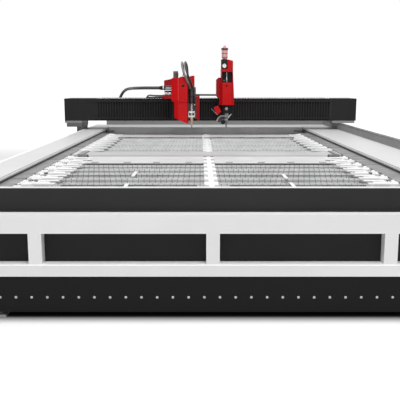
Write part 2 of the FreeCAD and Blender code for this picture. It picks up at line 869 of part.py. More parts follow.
def cone(name, low_radius, high_radius, x_place, y_place, z_span):
    """An upright round bar with a taper."""
    bar = document.addObject("Part::Cone", name)
    bar.setExpression("Radius1", sized(low_radius))
    bar.setExpression("Radius2", sized(high_radius))
    bar.setExpression("Height", sized(f"({z_span[1]}) - ({z_span[0]})"))
    bar.setExpression(".Placement.Base.x", sized(x_place))
    bar.setExpression(".Placement.Base.y", sized(y_place))
    bar.setExpression(".Placement.Base.z", sized(z_span[0]))
    return bar


# Cutting head: a column through two winged plates, and the tapered nozzle tube below them
nozzle_x = across_left("0")
wings = (across_left("-wing_wide"), across_left("wing_wide"))
wing_depth = ("head_front - wing_deep", "head_front + wing_deep")
keep(fused("left_cutting_head", [
    rod("head_column", "column_radius", nozzle_x, "head_front", ("wing_low", "valve_low")),
    block("wing_plate_low", wings, wing_depth, ("wing_low", "wing_low + wing_thick")),
    block("wing_plate_high", wings, wing_depth, ("wing_high - wing_thick", "wing_high")),
    block("wing_pin_left", (wings[0], wings[0] + " + wing_pin"), wing_depth,
          ("wing_low + wing_thick", "wing_high - wing_thick")),
    block("wing_pin_right", (wings[1] + " - wing_pin", wings[1]), wing_depth,
          ("wing_low + wing_thick", "wing_high - wing_thick")),
    rod("nozzle_tube", "tube_radius", nozzle_x, "head_front",
        ("(wing_low + tube_taper) / 2", "wing_low")),
    cone("nozzle_taper", "tube_neck", "tube_radius", nozzle_x, "head_front",
         ("tube_taper", "(wing_low + tube_taper) / 2")),
    cone("nozzle_tip", "tube_neck / 2", "tube_neck", nozzle_x, "head_front",
         ("tip_high", "tube_taper")),
]), "left_cutting_head")
keep(rod("left_valve", "valve_radius", nozzle_x, "head_front", ("valve_low", "valve_high")),
     "left_valve")
keep(block("left_bracket", (across_left("-left_lower_in"), across_left("guard_near")),
           ("head_front + valve_radius + run_gap", "housing_back"),
           ("bracket_low", "guard_high")), "left_bracket")
keep(extruded("left_guard_plate", "XZ_Plane", [
    (across_left("guard_near"), "guard_low + guard_cut"),
    (across_left("guard_near + guard_cut"), "guard_low"),
    (across_left("guard_far"), "guard_low"),
    (across_left("guard_far"), "guard_high"),
    (across_left("guard_near"), "guard_high"),
], ("head_front - guard_ahead", "housing_back")), "left_guard_plate")

# Right head: carriage plate with an ear for the cable, and the red housing with its window
ear_low = "plate_heights_high"
keep(fused("right_head_plate", [
    block("right_plate", ("right_plate_near", "right_plate_far"), plate_depth, plate_heights),
    block("cable_ear", ("right_plate_near", "right_plate_near + ear_long"), plate_depth,
          (ear_low, "ear_high")),
]), "right_head_plate")
right_front = [
    ("right_low_near", "right_low"),
    ("right_low_far", "right_low"),
    ("right_far", "right_waist"),
    ("right_neck_far", "window_top"),
    ("right_neck_far", "cheek_high"),
    ("gauge_far", "gauge_high"),
    ("gauge_far", "gauge_seat"),
    ("right_neck_near", "gauge_seat"),
    ("right_neck_near", "right_neck_low"),
    ("right_near", "right_waist"),
    ("right_near", "right_near_low"),
]
right_plan = [
    ("right_low_near", "housing_back"),
    ("right_low_near", "housing_front + facet_deep"),
    ("right_low_near + right_facet", "housing_front"),
    ("right_low_far - right_facet", "housing_front"),
    ("right_low_far", "housing_front + facet_deep"),
    ("right_low_far", "housing_back"),
]
right_housing = document.addObject("Part::Cut", "right_housing")
right_housing.Base = shaped("right_shell", right_front, right_plan, housing_span,
                            ("right_low", "gauge_high"))
right_housing.Tool = block("housing_window", ("window_near", "window_far"),
                           ("housing_front - 1", "housing_front + window_deep"),
                           ("right_waist", "window_top"))
keep(right_housing, "right_housing")
keep(extruded("right_side_box", "XZ_Plane", [
    ("right_box_near", "right_box_low + right_box_cut"),
    ("right_box_near + right_box_cut / 2", "right_box_low"),
    ("right_near", "right_box_low"),
    ("right_near", "right_box_high"),
    ("right_box_near + right_box_cut", "right_box_high"),
    ("right_box_near", "right_box_high - right_box_cut"),
], ("head_front - box_ahead / 2", "housing_back - box_back")), "right_side_box")
keep(block("right_gauge_box", ("right_neck_near", "gauge_far"),
           ("head_front - gauge_half", "head_front + gauge_half"),
           ("gauge_seat", "gauge_high")), "right_gauge_box")
keep(fused("right_hopper", [
    cone("hopper_funnel", "hopper_foot", "hopper_radius", "hopper_x", "head_front",
         ("gauge_high", "hopper_shoulder")),
    rod("hopper_bowl", "hopper_radius", "hopper_x", "head_front", ("hopper_shoulder", "hopper_top")),
    rod("hopper_lid", "lid_radius", "hopper_x", "head_front", ("hopper_top", "lid_high")),
    rod("hopper_spout", "spout_radius", "hopper_x", "head_front", ("lid_high", "spout_high")),
]), "right_hopper")

# Wrist: a drum that turns, with a small drive box, an arc that tilts and the nozzle
keep(turned("right_wrist_drum", [
    (0, "wrist_low"),
    ("wrist_radius", "wrist_low"),
    ("wrist_radius", "wrist_high"),
    ("wrist_neck", "wrist_high"),
    ("wrist_neck", "right_low - run_gap"),
    (0, "right_low - run_gap"),
], "wrist_x", "head_front"), "right_wrist_drum")
keep(extruded("right_wrist_box", "XZ_Plane", [
    ("pivot_x - box_far_out", "wrist_low + box_far_rise"),
    ("pivot_x - box_low_out", "wrist_low - box_low_drop"),
    ("wrist_x - wrist_radius", "wrist_low + box_near_rise"),
    ("pivot_x - box_high_out", "wrist_low + box_high_rise"),
], ("head_front - wrist_box_half", "head_front + wrist_box_half")), "right_wrist_box")


def pivot_disc(name, radius, y_span, start="0", sweep="360"):
    """A round plate, or a slice of one, about the tilt pivot, which lies along Y."""
    plate = document.addObject("Part::Cylinder", name)
    plate.setExpression("Radius", sized(radius))
    plate.setExpression("Height", sized(f"({y_span[1]}) - ({y_span[0]})"))
    plate.setExpression("Angle", sized(sweep))
    lay = FreeCAD.Rotation(FreeCAD.Vector(1, 0, 0), 90)
    plate.Placement.Rotation = lay.multiply(
        FreeCAD.Rotation(FreeCAD.Vector(0, 0, 1), value_of(start)))
    plate.setExpression(".Placement.Base.x", sized("pivot_x"))
    plate.setExpression(".Placement.Base.y", sized(y_span[1]))
    plate.setExpression(".Placement.Base.z", sized("pivot_high"))
    return plate


# The arc link: a rimmed sector plate that hangs from the drum and carries the tilt pivot
rim = document.addObject("Part::Cut", "arc_rim")
rim.Base = pivot_disc("arc_rim_outer", "arc_radius", ("arc_front", "arc_back"), "arc_start", "arc_sweep")
rim.Tool = pivot_disc("arc_rim_inner", "arc_radius - arc_rim", ("arc_front - 1", "arc_back + 1"),
                      "arc_start", "arc_sweep")
keep(fused("right_arc_link", [
    rim,
    pivot_disc("arc_plate", "arc_radius - arc_rim / 2", ("arc_back - arc_web", "arc_back"),
               "arc_start", "arc_sweep"),
    pivot_disc("arc_hub", "hub_radius", ("arc_front", "arc_back - arc_web")),
    block("arc_hanger", ("tip_right - nozzle_radius", "tip_right + disc_radius"),
          ("arc_front + hanger_set", "arc_back - hanger_set"),
          ("pivot_high + arc_radius - hanger_lap", "wrist_low")),
]), "right_arc_link")
# The nozzle body on its pivot disc, which turns against the front of the arc link
keep(fused("right_nozzle", [
    rod("nozzle_body", "nozzle_radius", "tip_right", "head_front", ("nozzle_low", "nozzle_high")),
    cone("nozzle_cone", "nozzle_tip", "nozzle_root", "tip_right", "head_front",
         ("tip_high", "nozzle_low")),
    pivot_disc("pivot_disc", "disc_radius", ("head_front", "arc_front - run_gap")),
    block("pivot_bridge", ("pivot_x", "tip_right"), ("head_front + hanger_set", "arc_front - run_gap"),
          ("pivot_high - bridge_half", "pivot_high + bridge_half")),
]), "right_nozzle")


HOSE_SIDES = 4


def hose(label, radius, points):
    """A hose of four flats along straight runs joined by tangent arcs, as large as the runs allow."""
    thick = value_of(radius)
    places = [FreeCAD.Vector(*(value_of(place) for place in point)) for point in points]
    edges = []
    radii = []
    last = places[0]
    for before, corner, after in zip(places, places[1:], places[2:]):
        come = (corner - before).normalize()
        go = (after - corner).normalize()
        turn = come.getAngle(go)
        cut = 0.45 * min((corner - before).Length, (after - corner).Length)
        radii.append(cut / math.tan(turn / 2))
        enter = corner - come * cut
        leave = corner + go * cut
        inward = (go - come).normalize()
        bulge = radii[-1] * (1 / math.cos(turn / 2) - 1)
        edges.append(Part.LineSegment(last, enter).toShape())
        edges.append(Part.Arc(enter, corner + inward * bulge, leave).toShape())
        last = leave
    edges.append(Part.LineSegment(last, places[-1]).toShape())
    path = Part.Wire(edges)
    along = (places[1] - places[0]).normalize()
    side = along.cross(FreeCAD.Vector(1, 0, 0) if abs(along.z) > 0.5 else FreeCAD.Vector(0, 0, 1))
    side = side.normalize() * thick
    turn_step = FreeCAD.Rotation(along, 360 / HOSE_SIDES)
    corners = [side]
    for _ in range(HOSE_SIDES):
        corners.append(turn_step.multVec(corners[-1]))
    section = Part.makePolygon([places[0] + corner for corner in corners[:-1]] + [places[0] + side])
    tube = document.addObject("Part::Feature", label)
    tube.Shape = path.makePipeShell([section], True, False)
    area = HOSE_SIDES / 2 * thick * thick * math.sin(2 * math.pi / HOSE_SIDES)
    share = tube.Shape.Volume / (area * path.Length)
    print(f"{label}: {path.Length:.0f} long, volume share {share:.4f}, radii",
          [round(value) for value in radii])
    return keep(tube, label)


# Hoses over the left housing: up from the glands on its top, forward and down to the valve
gland_top = "gland_seat + hose_gland_high"


def loop_point(across, ahead, above):
    """A place by the left head, from its nozzle's line and the seat of the hose glands."""
    return across_left(across), f"head_front + ({ahead})", f"gland_seat + ({above})"


hose("left_hose_grey", "hose_radius", [
    (grey_hose_x, hose_gland_y, gland_top),
    loop_point(-124, 200, 84),
    loop_point(-133, 164, 170),
    loop_point(-144, 80, 221),
    loop_point(-149, -28, 216),
    loop_point(-143, -116, 160),
    loop_point(-122, -160, 72),
    loop_point(-86, -166, -12),
    loop_point(-50, -130, -84),
    loop_point(-32, -64, -136),
    (across_left("-20"), "head_front - valve_hose_ahead", "valve_high + valve_hose_lift"),
])
hose("left_hose_black", "hose_radius", [
    (black_hose_x, hose_gland_y, gland_top),
    loop_point(-64, 200, 84),
    loop_point(-74, 164, 170),
    loop_point(-90, 80, 222),
    loop_point(-98, -28, 218),
    loop_point(-93, -114, 162),
    loop_point(-73, -154, 76),
    loop_point(-44, -150, -8),
    loop_point(-14, -112, -80),
    loop_point(8, -60, -134),
    (across_left("18"), "head_front - valve_hose_ahead", "valve_high + valve_hose_lift"),
])


def conduit_point(along, back, above):
    """A place along the left conduit, from where it leaves its gland."""
    return (across_left(f"-manifold_out - {along}"), f"head_front + {back}",
            f"gland_side_high + ({above})")


# The left conduit: from the side gland over the beam to a clamp behind it
conduit_end = conduit_point(828, 1212, -360)
hose("left_conduit", "conduit_radius", [
    (across_left("-manifold_out"), "head_front + gland_back", "gland_side_high"),
    conduit_point(150, "gland_back", 0),
    conduit_point(330, 130, -1),
    conduit_point(470, 380, -6),
    conduit_point(560, 700, -12),
    conduit_point(650, 930, -22),
    conduit_point(728, 1085, -62),
    conduit_point(790, 1172, -142),
    conduit_point(828, 1212, -245),
    conduit_end,
])


def clamp(label, end):
    """A square clamp under the end of a hose that comes down to it."""
    x_place, y_place, z_place = end
    return keep(block(label, (f"{x_place} - clamp_half", f"{x_place} + clamp_half"),
                      (f"{y_place} - clamp_half", f"{y_place} + clamp_half"),
                      (f"{z_place} - clamp_high", z_place)), label)


clamp("left_conduit_end", conduit_end)


def cable_point(along, back, above):
    """A place along the right cable, from where it leaves the ear of its carriage plate."""
    return (f"right_plate_near - {along}", f"carriage_front + carriage_thick / 2 + ({back})",
            f"ear_high - cable_down + ({above})")


# The right cable: from the ear behind the right head, along the beam and down behind it
cable_end = cable_point(1214, 792, -230)
hose("right_conduit", "cable_radius", [
    cable_point(0, 0, 0),
    cable_point(170, 0, 0),
    cable_point(400, -1, 3),
    cable_point(640, 6, -8),
    cable_point(850, 60, -15),
    cable_point(1000, 230, -17),
    cable_point(1080, 420, -15),
    cable_point(1136, 576, -14),
    cable_point(1172, 680, -26),
    cable_point(1200, 752, -68),
    cable_point(1214, 792, -140),
    cable_end,
])
clamp("right_conduit_end", cable_end)

document.recompute()

for item in document.Objects:
    if "Invalid" in item.State or "Error" in item.State:
        raise RuntimeError(f"{item.Label} did not compute: {item.State}")
for item in subparts:
    if item.Shape.isNull() or not item.Shape.isValid():
        raise RuntimeError(f"{item.Label} has no valid shape")

os.makedirs("parts", exist_ok=True)
for item in subparts:
    item.Shape.exportStep(os.path.join("parts", item.Label + ".step"))
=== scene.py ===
import math

import bpy
import numpy as np
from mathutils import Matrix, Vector


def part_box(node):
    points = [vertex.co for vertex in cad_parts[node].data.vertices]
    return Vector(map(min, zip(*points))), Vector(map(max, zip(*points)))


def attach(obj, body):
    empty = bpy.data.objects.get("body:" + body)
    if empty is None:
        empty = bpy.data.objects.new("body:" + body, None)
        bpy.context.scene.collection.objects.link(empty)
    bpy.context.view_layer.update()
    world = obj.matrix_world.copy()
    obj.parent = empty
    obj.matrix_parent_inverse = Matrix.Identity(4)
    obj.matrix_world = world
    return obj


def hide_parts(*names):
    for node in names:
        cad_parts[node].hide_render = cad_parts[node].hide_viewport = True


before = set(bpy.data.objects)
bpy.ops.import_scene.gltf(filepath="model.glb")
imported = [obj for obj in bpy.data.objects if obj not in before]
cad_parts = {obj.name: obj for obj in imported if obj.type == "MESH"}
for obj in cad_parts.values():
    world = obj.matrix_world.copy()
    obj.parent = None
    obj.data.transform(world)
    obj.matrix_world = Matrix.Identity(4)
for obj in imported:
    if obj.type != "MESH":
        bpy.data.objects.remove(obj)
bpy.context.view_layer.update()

# Camera
# It stands before the machine's short front end at eye level, a little left of the tank's middle,
# and looks down the length of the bed. The lens takes in 400 pixels at a focal length of 660.
EYE = Vector((-0.166, -8.3525, 1.63))
FOCAL_PIXELS = 660
FRAME_PIXELS = 400
HORIZON_ROW = 84.5
SENSOR = 36.0
camera_data = bpy.data.cameras.new("eye")
camera_data.sensor_width = SENSOR
camera_data.lens = SENSOR * FOCAL_PIXELS / FRAME_PIXELS
camera_data.clip_end = 200
camera = bpy.data.objects.new("eye", camera_data)
bpy.context.collection.objects.link(camera)
camera.location = EYE
pitch_down = math.atan((FRAME_PIXELS / 2 - HORIZON_ROW) / FOCAL_PIXELS)
camera.rotation_euler = (math.pi / 2 - pitch_down, 0, 0)
bpy.context.scene.camera = camera
bpy.context.scene.view_settings.view_transform = "Standard"


# Hoses and cables
# Two rubber hoses loop over the left head from glands on its housing to its valve. A conduit and a
# cable run from the heads along the beam and down behind it, each held there by a clamp.
def tone(red, green=None, blue=None):
    """A colour given as the eye sees it, 0 to 255, as the light it gives back, 0 to 1."""
    seen = np.array([red, red if green is None else green, red if blue is None else blue]) / 255
    return tuple(np.where(seen <= 0.04045, seen / 12.92, ((seen + 0.055) / 1.055) ** 2.4)) + (1.0,)


def shade_group(name, inputs, outputs):
    """A shader node group with named sockets: its tree, its input node and its output node."""
    tree = bpy.data.node_groups.new(name, "ShaderNodeTree")
    for label, kind, value in inputs:
        socket = tree.interface.new_socket(label, in_out="INPUT", socket_type=kind)
        socket.default_value = value
    for label, kind in outputs:
        tree.interface.new_socket(label, in_out="OUTPUT", socket_type=kind)
    return tree, tree.nodes.new("NodeGroupInput"), tree.nodes.new("NodeGroupOutput")


def clouded_group():
    """Soft clouds: noise of a given scale turns the colour towards its shade and moves the gloss."""
    tree, given, made = shade_group("clouded", [
        ("Colour", "NodeSocketColor", (0.8, 0.8, 0.8, 1)),
        ("Shade", "NodeSocketColor", (0.5, 0.5, 0.5, 1)),
        ("Amount", "NodeSocketFloat", 0.3),
        ("Scale", "NodeSocketFloat", 2.0),
        ("Roughness", "NodeSocketFloat", 0.4),
        ("Spread", "NodeSocketFloat", 0.1),
    ], [("Colour", "NodeSocketColor"), ("Roughness", "NodeSocketFloat")])
    place = tree.nodes.new("ShaderNodeTexCoord")
    noise = tree.nodes.new("ShaderNodeTexNoise")
    noise.inputs["Detail"].default_value = 4
    tree.links.new(place.outputs["Object"], noise.inputs["Vector"])
    tree.links.new(given.outputs["Scale"], noise.inputs["Scale"])
    mask = tree.nodes.new("ShaderNodeMapRange")
    mask.inputs["From Min"].default_value = 0.35
    mask.inputs["From Max"].default_value = 0.65
    tree.links.new(noise.outputs["Fac"], mask.inputs["Value"])
    part = tree.nodes.new("ShaderNodeMath")
    part.operation = "MULTIPLY"
    tree.links.new(mask.outputs["Result"], part.inputs[0])
    tree.links.new(given.outputs["Amount"], part.inputs[1])
    blend = tree.nodes.new("ShaderNodeMix")
    blend.data_type = "RGBA"
    tree.links.new(part.outputs[0], blend.inputs["Factor"])
    tree.links.new(given.outputs["Colour"], blend.inputs["A"])
    tree.links.new(given.outputs["Shade"], blend.inputs["B"])
    tree.links.new(blend.outputs["Result"], made.inputs["Colour"])
    gloss = tree.nodes.new("ShaderNodeMath")
    gloss.operation = "MULTIPLY_ADD"
    tree.links.new(mask.outputs["Result"], gloss.inputs[0])
    tree.links.new(given.outputs["Spread"], gloss.inputs[1])
    tree.links.new(given.outputs["Roughness"], gloss.inputs[2])
    tree.links.new(gloss.outputs[0], made.inputs["Roughness"])
    return tree


CLOUDED = clouded_group()


def finish(name, colour, shade, amount=0.3, scale=2.0, roughness=0.4, spread=0.1, metallic=0.0,
           specular=0.5):
    """A material whose colour and gloss wander in soft clouds between two values."""
    made = bpy.data.materials.new(name)
    made.use_nodes = True
    tree = made.node_tree
    shader = tree.nodes["Principled BSDF"]
    shader.inputs["Metallic"].default_value = metallic
    shader.inputs["Specular IOR Level"].default_value = specular
    clouds = tree.nodes.new("ShaderNodeGroup")
    clouds.node_tree = CLOUDED
    clouds.name = "clouds"
    clouds.inputs["Colour"].default_value = colour
    clouds.inputs["Shade"].default_value = shade
    clouds.inputs["Amount"].default_value = amount
    clouds.inputs["Scale"].default_value = scale
    clouds.inputs["Roughness"].default_value = roughness
    clouds.inputs["Spread"].default_value = spread
    tree.links.new(clouds.outputs["Colour"], shader.inputs["Base Color"])
    tree.links.new(clouds.outputs["Roughness"], shader.inputs["Roughness"])
    return made


def dress(material, *nodes):
    """The CAD pieces of these names take the material."""
    for name in nodes:
        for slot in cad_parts[name].material_slots:
            slot.material = material


grey_rubber = finish("grey_rubber", tone(132), tone(96), 0.6, 14, 0.32, 0.1)
black_rubber = finish("black_rubber", tone(34), tone(48), 0.5, 14, 0.35, 0.12)
conduit_rubber = finish("conduit_rubber", tone(66), tone(50), 0.5, 9, 0.45, 0.1)
clamp_paint = finish("clamp_paint", tone(40), tone(52), 0.5, 12, 0.5, 0.1)

GREY_HOSE = [
    (-0.420, 2.200, 1.770), (-0.420, 2.200, 1.832), (-0.429, 2.164, 1.918), (-0.440, 2.080, 1.969),
    (-0.445, 1.972, 1.964), (-0.439, 1.884, 1.908), (-0.418, 1.840, 1.820), (-0.382, 1.834, 1.736),
    (-0.346, 1.870, 1.664), (-0.328, 1.936, 1.612), (-0.316, 1.974, 1.568),
]
BLACK_HOSE = [
    (-0.360, 2.200, 1.770), (-0.360, 2.200, 1.832), (-0.370, 2.164, 1.918), (-0.386, 2.080, 1.970),
    (-0.394, 1.972, 1.966), (-0.389, 1.886, 1.910), (-0.369, 1.846, 1.824), (-0.340, 1.850, 1.740),
    (-0.310, 1.888, 1.668), (-0.288, 1.940, 1.614), (-0.278, 1.974, 1.568),
]
CONDUIT = [
    (-0.743, 2.020, 1.578), (-0.893, 2.020, 1.578), (-1.073, 2.130, 1.577), (-1.213, 2.380, 1.572),
    (-1.303, 2.700, 1.566), (-1.393, 2.930, 1.556), (-1.471, 3.085, 1.516), (-1.533, 3.172, 1.436),
    (-1.571, 3.212, 1.333), (-1.571, 3.212, 1.218),
]
CABLE = [
    (0.120, 2.3035, 1.466), (-0.050, 2.3035, 1.466), (-0.280, 2.3025, 1.469),
    (-0.520, 2.3095, 1.458), (-0.730, 2.3635, 1.451), (-0.880, 2.5335, 1.449),
    (-0.960, 2.7235, 1.451), (-1.016, 2.8795, 1.452), (-1.052, 2.9835, 1.440),
    (-1.080, 3.0555, 1.398), (-1.094, 3.0955, 1.326), (-1.094, 3.0955, 1.236),
]


def hose(name, route, diameter, material):
    """A round hose along a smooth line that the points of its route pull into shape."""
    curve = bpy.data.curves.new(name, "CURVE")
    curve.dimensions = "3D"
    curve.bevel_depth = diameter / 2
    curve.bevel_resolution = 4
    curve.use_fill_caps = True
    curve.resolution_u = 10
    line = curve.splines.new("NURBS")
    line.points.add(len(route) - 1)
    line.points.foreach_set("co", np.c_[route, np.ones(len(route))].ravel())
    line.order_u = 3
    line.use_endpoint_u = True
    curve.materials.append(material)
    made = bpy.data.objects.new(name, curve)
    bpy.context.collection.objects.link(made)
    return made


def head_hose(name, node, route, diameter, material, body):
    """A hose that rides on its head and stands for the CAD's plain tube, which it hides."""
    made = hose(name, route, diameter, material)
    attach(made, body)
    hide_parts(node)
    return made


HOSE_ACROSS = 0.032
CONDUIT_ACROSS = 0.048
CABLE_ACROSS = 0.028
head_hose("grey_hose", "left_hose_grey", GREY_HOSE, HOSE_ACROSS, grey_rubber,
          "left_head")
head_hose("black_hose", "left_hose_black", BLACK_HOSE, HOSE_ACROSS, black_rubber,
          "left_head")
head_hose("conduit", "left_conduit", CONDUIT, CONDUIT_ACROSS, conduit_rubber,
          "left_head")
head_hose("cable", "right_conduit", CABLE, CABLE_ACROSS, black_rubber,
          "right_cross_slide")
dress(clamp_paint, "left_conduit_end", "right_conduit_end")


# Cladding
# Folded sheet steel panels screwed to the frame: black bands at the top, a silver frame of rails and
# posts over dark recessed panels, and black skirts held by a row of domed screws near the floor.
def piece(name, points, faces, material, body):
    """A mesh of points and faces, with its material, that rides on a body."""
    mesh = bpy.data.meshes.new(name)
    mesh.from_pydata(np.asarray(points).tolist(), [], [list(face) for face in faces])
    mesh.materials.append(material)
    mesh.update()
    made = bpy.data.objects.new(name, mesh)
    bpy.context.collection.objects.link(made)
    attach(made, body)
    return made


BAR_CORNERS = np.array([(x, y, z) for z in (0, 1) for y in (0, 1) for x in (0, 1)])
BAR_FACES = np.array([(0, 2, 3, 1), (4, 5, 7, 6), (0, 1, 5, 4), (1, 3, 7, 5), (3, 2, 6, 7),
                      (2, 0, 4, 6)])


def bars(name, lows, highs, material, body, slot=None):
    """Square bars: a corner is the low place plus 0 or 1 times the bar's size in each direction."""
    lows = np.atleast_2d(lows).astype(float)
    highs = np.atleast_2d(highs).astype(float)
    points = lows[:, None] + BAR_CORNERS * (highs - lows)[:, None]
    faces = BAR_FACES + 8 * np.arange(len(lows))[:, None, None]
    return piece(name, points.reshape(-1, 3), faces.reshape(-1, 4), material, body)


def turned(name, profile, centres, axis, sides, material, body, smooth=True):
    """Turned pieces: a point is centre + along * axis + radius * (cos a * u + sin a * v)."""
    radius, along = np.array(profile, float).T
    axis = np.array(axis, float) / np.linalg.norm(axis)
    across = np.cross(axis, (0, 0, 1) if abs(axis[2]) < 0.9 else (1, 0, 0))
    across /= np.linalg.norm(across)
    third = np.cross(axis, across)
    angle = np.arange(sides) * 2 * np.pi / sides
    ring = np.cos(angle)[:, None] * across + np.sin(angle)[:, None] * third
    one = along[:, None, None] * axis + radius[:, None, None] * ring
    centres = np.atleast_2d(centres).astype(float)
    points = centres[:, None, None] + one
    rows = len(profile)
    low, next_one = np.arange(sides), (np.arange(sides) + 1) % sides
    quads = np.stack([low, next_one, next_one + sides, low + sides], -1)
    quads = (quads + sides * np.arange(rows - 1)[:, None, None]).reshape(-1, 4)
    faces = []
    for start in np.arange(len(centres)) * rows * sides:
        faces += (quads + start).tolist()
        faces.append((start + low[::-1]).tolist())
        faces.append((start + (rows - 1) * sides + low).tolist())
    made = piece(name, points.reshape(-1, 3), faces, material, body)
    if smooth:
        flags = np.array([len(face) == 4 for face in faces])
        made.data.polygons.foreach_set("use_smooth", flags)
    return made


silver_paint = finish("silver_paint", tone(224), tone(214), 0.5, 0.9, 0.42, 0.08)
band_paint = finish("band_paint", tone(40), tone(50), 0.5, 1.2, 0.5, 0.12, specular=0.12)
skirt_paint = finish("skirt_paint", tone(27), tone(31), 0.5, 2.0, 0.55, 0.1, specular=0.08)
panel_paint = finish("panel_paint", tone(34), tone(42), 0.5, 1.4, 0.5, 0.1, specular=0.08)
screw_zinc = finish("screw_zinc", tone(196), tone(150), 0.5, 60, 0.35, 0.1)
dress(silver_paint, "top_rails", "bottom_rails", "posts")
dress(band_paint, "bands")
dress(panel_paint, "backing_plates")
dress(skirt_paint, "skirts", "sills", "base_beams")

low_skirt, high_skirt = (np.array(corner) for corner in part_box("skirts"))
SCREW_PITCH = 0.1108
SCREW_RADIUS = 0.010
SCREW_PROUD = 0.004
SCREW_HIGH = 0.150
SCREW_START = -0.1357
SCREW_MARGIN = 0.03


def screw_places(low, high):
    """Places a pitch apart that take in the start and keep a margin from both ends."""
    steps = math.floor((SCREW_START - low - SCREW_MARGIN) / SCREW_PITCH)
    return np.arange(SCREW_START - SCREW_PITCH * steps, high - SCREW_MARGIN, SCREW_PITCH)


screw_profile = [(SCREW_RADIUS, -0.001), (SCREW_RADIUS, 0.001), (SCREW_RADIUS * 0.8, 0.003),
                 (SCREW_RADIUS * 0.4, SCREW_PROUD)]
for side, axis in (("front", (0, -1, 0)), ("back", (0, 1, 0)), ("left", (-1, 0, 0)),
                   ("right", (1, 0, 0))):
    if axis[0]:
        along = screw_places(low_skirt[1], high_skirt[1])
        face = low_skirt[0] if axis[0] < 0 else high_skirt[0]
        middles = np.c_[np.full(len(along), face), along, np.full(len(along), SCREW_HIGH)]
    else:
        along = screw_places(low_skirt[0], high_skirt[0])
        face = low_skirt[1] if axis[1] < 0 else high_skirt[1]
        middles = np.c_[along, np.full(len(along), face), np.full(len(along), SCREW_HIGH)]
    turned("skirt_screws_" + side, screw_profile, middles, axis, 8, screw_zinc, "tank")

low_band, high_band = (np.array(corner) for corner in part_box("bands"))
ledge_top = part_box("top_rails")[1][2]
# A dark strip along the foot of the black bands, where they meet the ledge.
FOOT_STRIP_HIGH = 0.008
FOOT_STRIP_PROUD = 0.003
band_foot_dark = finish("band_foot_dark", tone(22), tone(30), 0.5, 8, 0.6, 0.1)
foot_strip_low = low_band - FOOT_STRIP_PROUD
foot_strip_high = high_band + FOOT_STRIP_PROUD
foot_strip_top = ledge_top + FOOT_STRIP_HIGH
bars("band_foot_strip", [
    (foot_strip_low[0], foot_strip_low[1], ledge_top), (foot_strip_low[0], high_band[1], ledge_top),
    (foot_strip_low[0], low_band[1], ledge_top), (high_band[0], low_band[1], ledge_top),
], [
    (foot_strip_high[0], low_band[1], foot_strip_top), (foot_strip_high[0], foot_strip_high[1], foot_strip_top),
    (low_band[0], high_band[1], foot_strip_top), (foot_strip_high[0], high_band[1], foot_strip_top),
], band_foot_dark, "tank", "bellows_rubber")

# Thin white strips of painted highlight lie on the top of the upper ledge and along the front edge of
# the window sills. They are lighter than the silver paint, for the light that falls on these faces.
HIGHLIGHT_THICK = 0.001
LEDGE_WIDE = 0.085
painted_highlight_white = finish("painted_highlight_white", tone(252), tone(247), 0.4, 1.0, 0.35, 0.05)
highlight_top = ledge_top + HIGHLIGHT_THICK
ledge_low, ledge_high = (np.array(corner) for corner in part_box("top_rails"))
inner_low = ledge_low + LEDGE_WIDE
inner_high = ledge_high - LEDGE_WIDE
bars("upper_ledge_highlight", [
    (ledge_low[0], ledge_low[1], ledge_top), (ledge_low[0], inner_high[1], ledge_top),
    (ledge_low[0], inner_low[1], ledge_top), (inner_high[0], inner_low[1], ledge_top),
], [
    (ledge_high[0], inner_low[1], highlight_top), (ledge_high[0], ledge_high[1], highlight_top),
    (inner_low[0], inner_high[1], highlight_top), (ledge_high[0], inner_high[1], highlight_top),
], painted_highlight_white, "tank", "silver_paint")

SILL_INSET = 0.05
SILL_LOW = 0.005
SILL_HIGH = 0.006
rail_low, rail_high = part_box("bottom_rails")
# The sill's strip is a painted highlight along its front edge.
bars("window_sill_highlight",
     (low_skirt[0] + SILL_INSET, rail_low[1] - HIGHLIGHT_THICK, rail_high[2] - SILL_LOW),
     (high_skirt[0] - SILL_INSET, rail_low[1] + LEDGE_WIDE, rail_high[2] + SILL_HIGH),
     painted_highlight_white, "tank", "silver_paint")

# Feet
# Zinc-plated levelling feet: a square pad on the floor, a stud and a lock nut under each base beam.
zinc = finish("zinc", tone(176), tone(140), 0.6, 6, 0.4, 0.15, 0.3)
dress(zinc, "levelling_feet")

# Deck and guide walls
# Satin-painted steel plates round the tank, welded at the mitres, with raised square tubes along the
# right side and the back, and ground linear rails on which the gantry runs.
deck_paint = finish("deck_paint", tone(218), tone(211), 0.6, 0.7, 0.4, 0.1)
rim_paint = finish("rim_paint", tone(226), tone(206), 0.6, 3.0, 0.4, 0.1)
guide_paint = finish("guide_paint", tone(140), tone(130), 0.5, 1.0, 0.45, 0.1)
rail_steel = finish("rail_steel", tone(158), tone(128), 0.6, 5.0, 0.3, 0.12, 0.6)
dress(deck_paint, "deck_left", "deck_right", "deck_back")
dress(rim_paint, "front_rim")
dress(guide_paint, "guide_wall_right", "guide_wall_back")
dress(rail_steel, "left_rail", "right_rail")

EDGE_OUT = 0.012
EDGE_IN = 0.03
BACK_EDGE = 0.30
deck_low, deck_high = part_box("deck_left")
back_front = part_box("deck_back")[0][1]
# A white strip of painted highlight along the outer edge of the left deck and along the front of the
# back deck, which lies in the gantry's shade.
bars("deck_edge_highlight", [
    (deck_low[0] - EDGE_OUT, deck_low[1], deck_high[2]),
    (deck_high[0], back_front, deck_high[2]),
], [
    (deck_low[0] + EDGE_IN, deck_high[1], deck_high[2] + HIGHLIGHT_THICK),
    (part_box("deck_right")[0][0], back_front + BACK_EDGE, deck_high[2] + HIGHLIGHT_THICK),
], painted_highlight_white, "tank", "pale_paint")

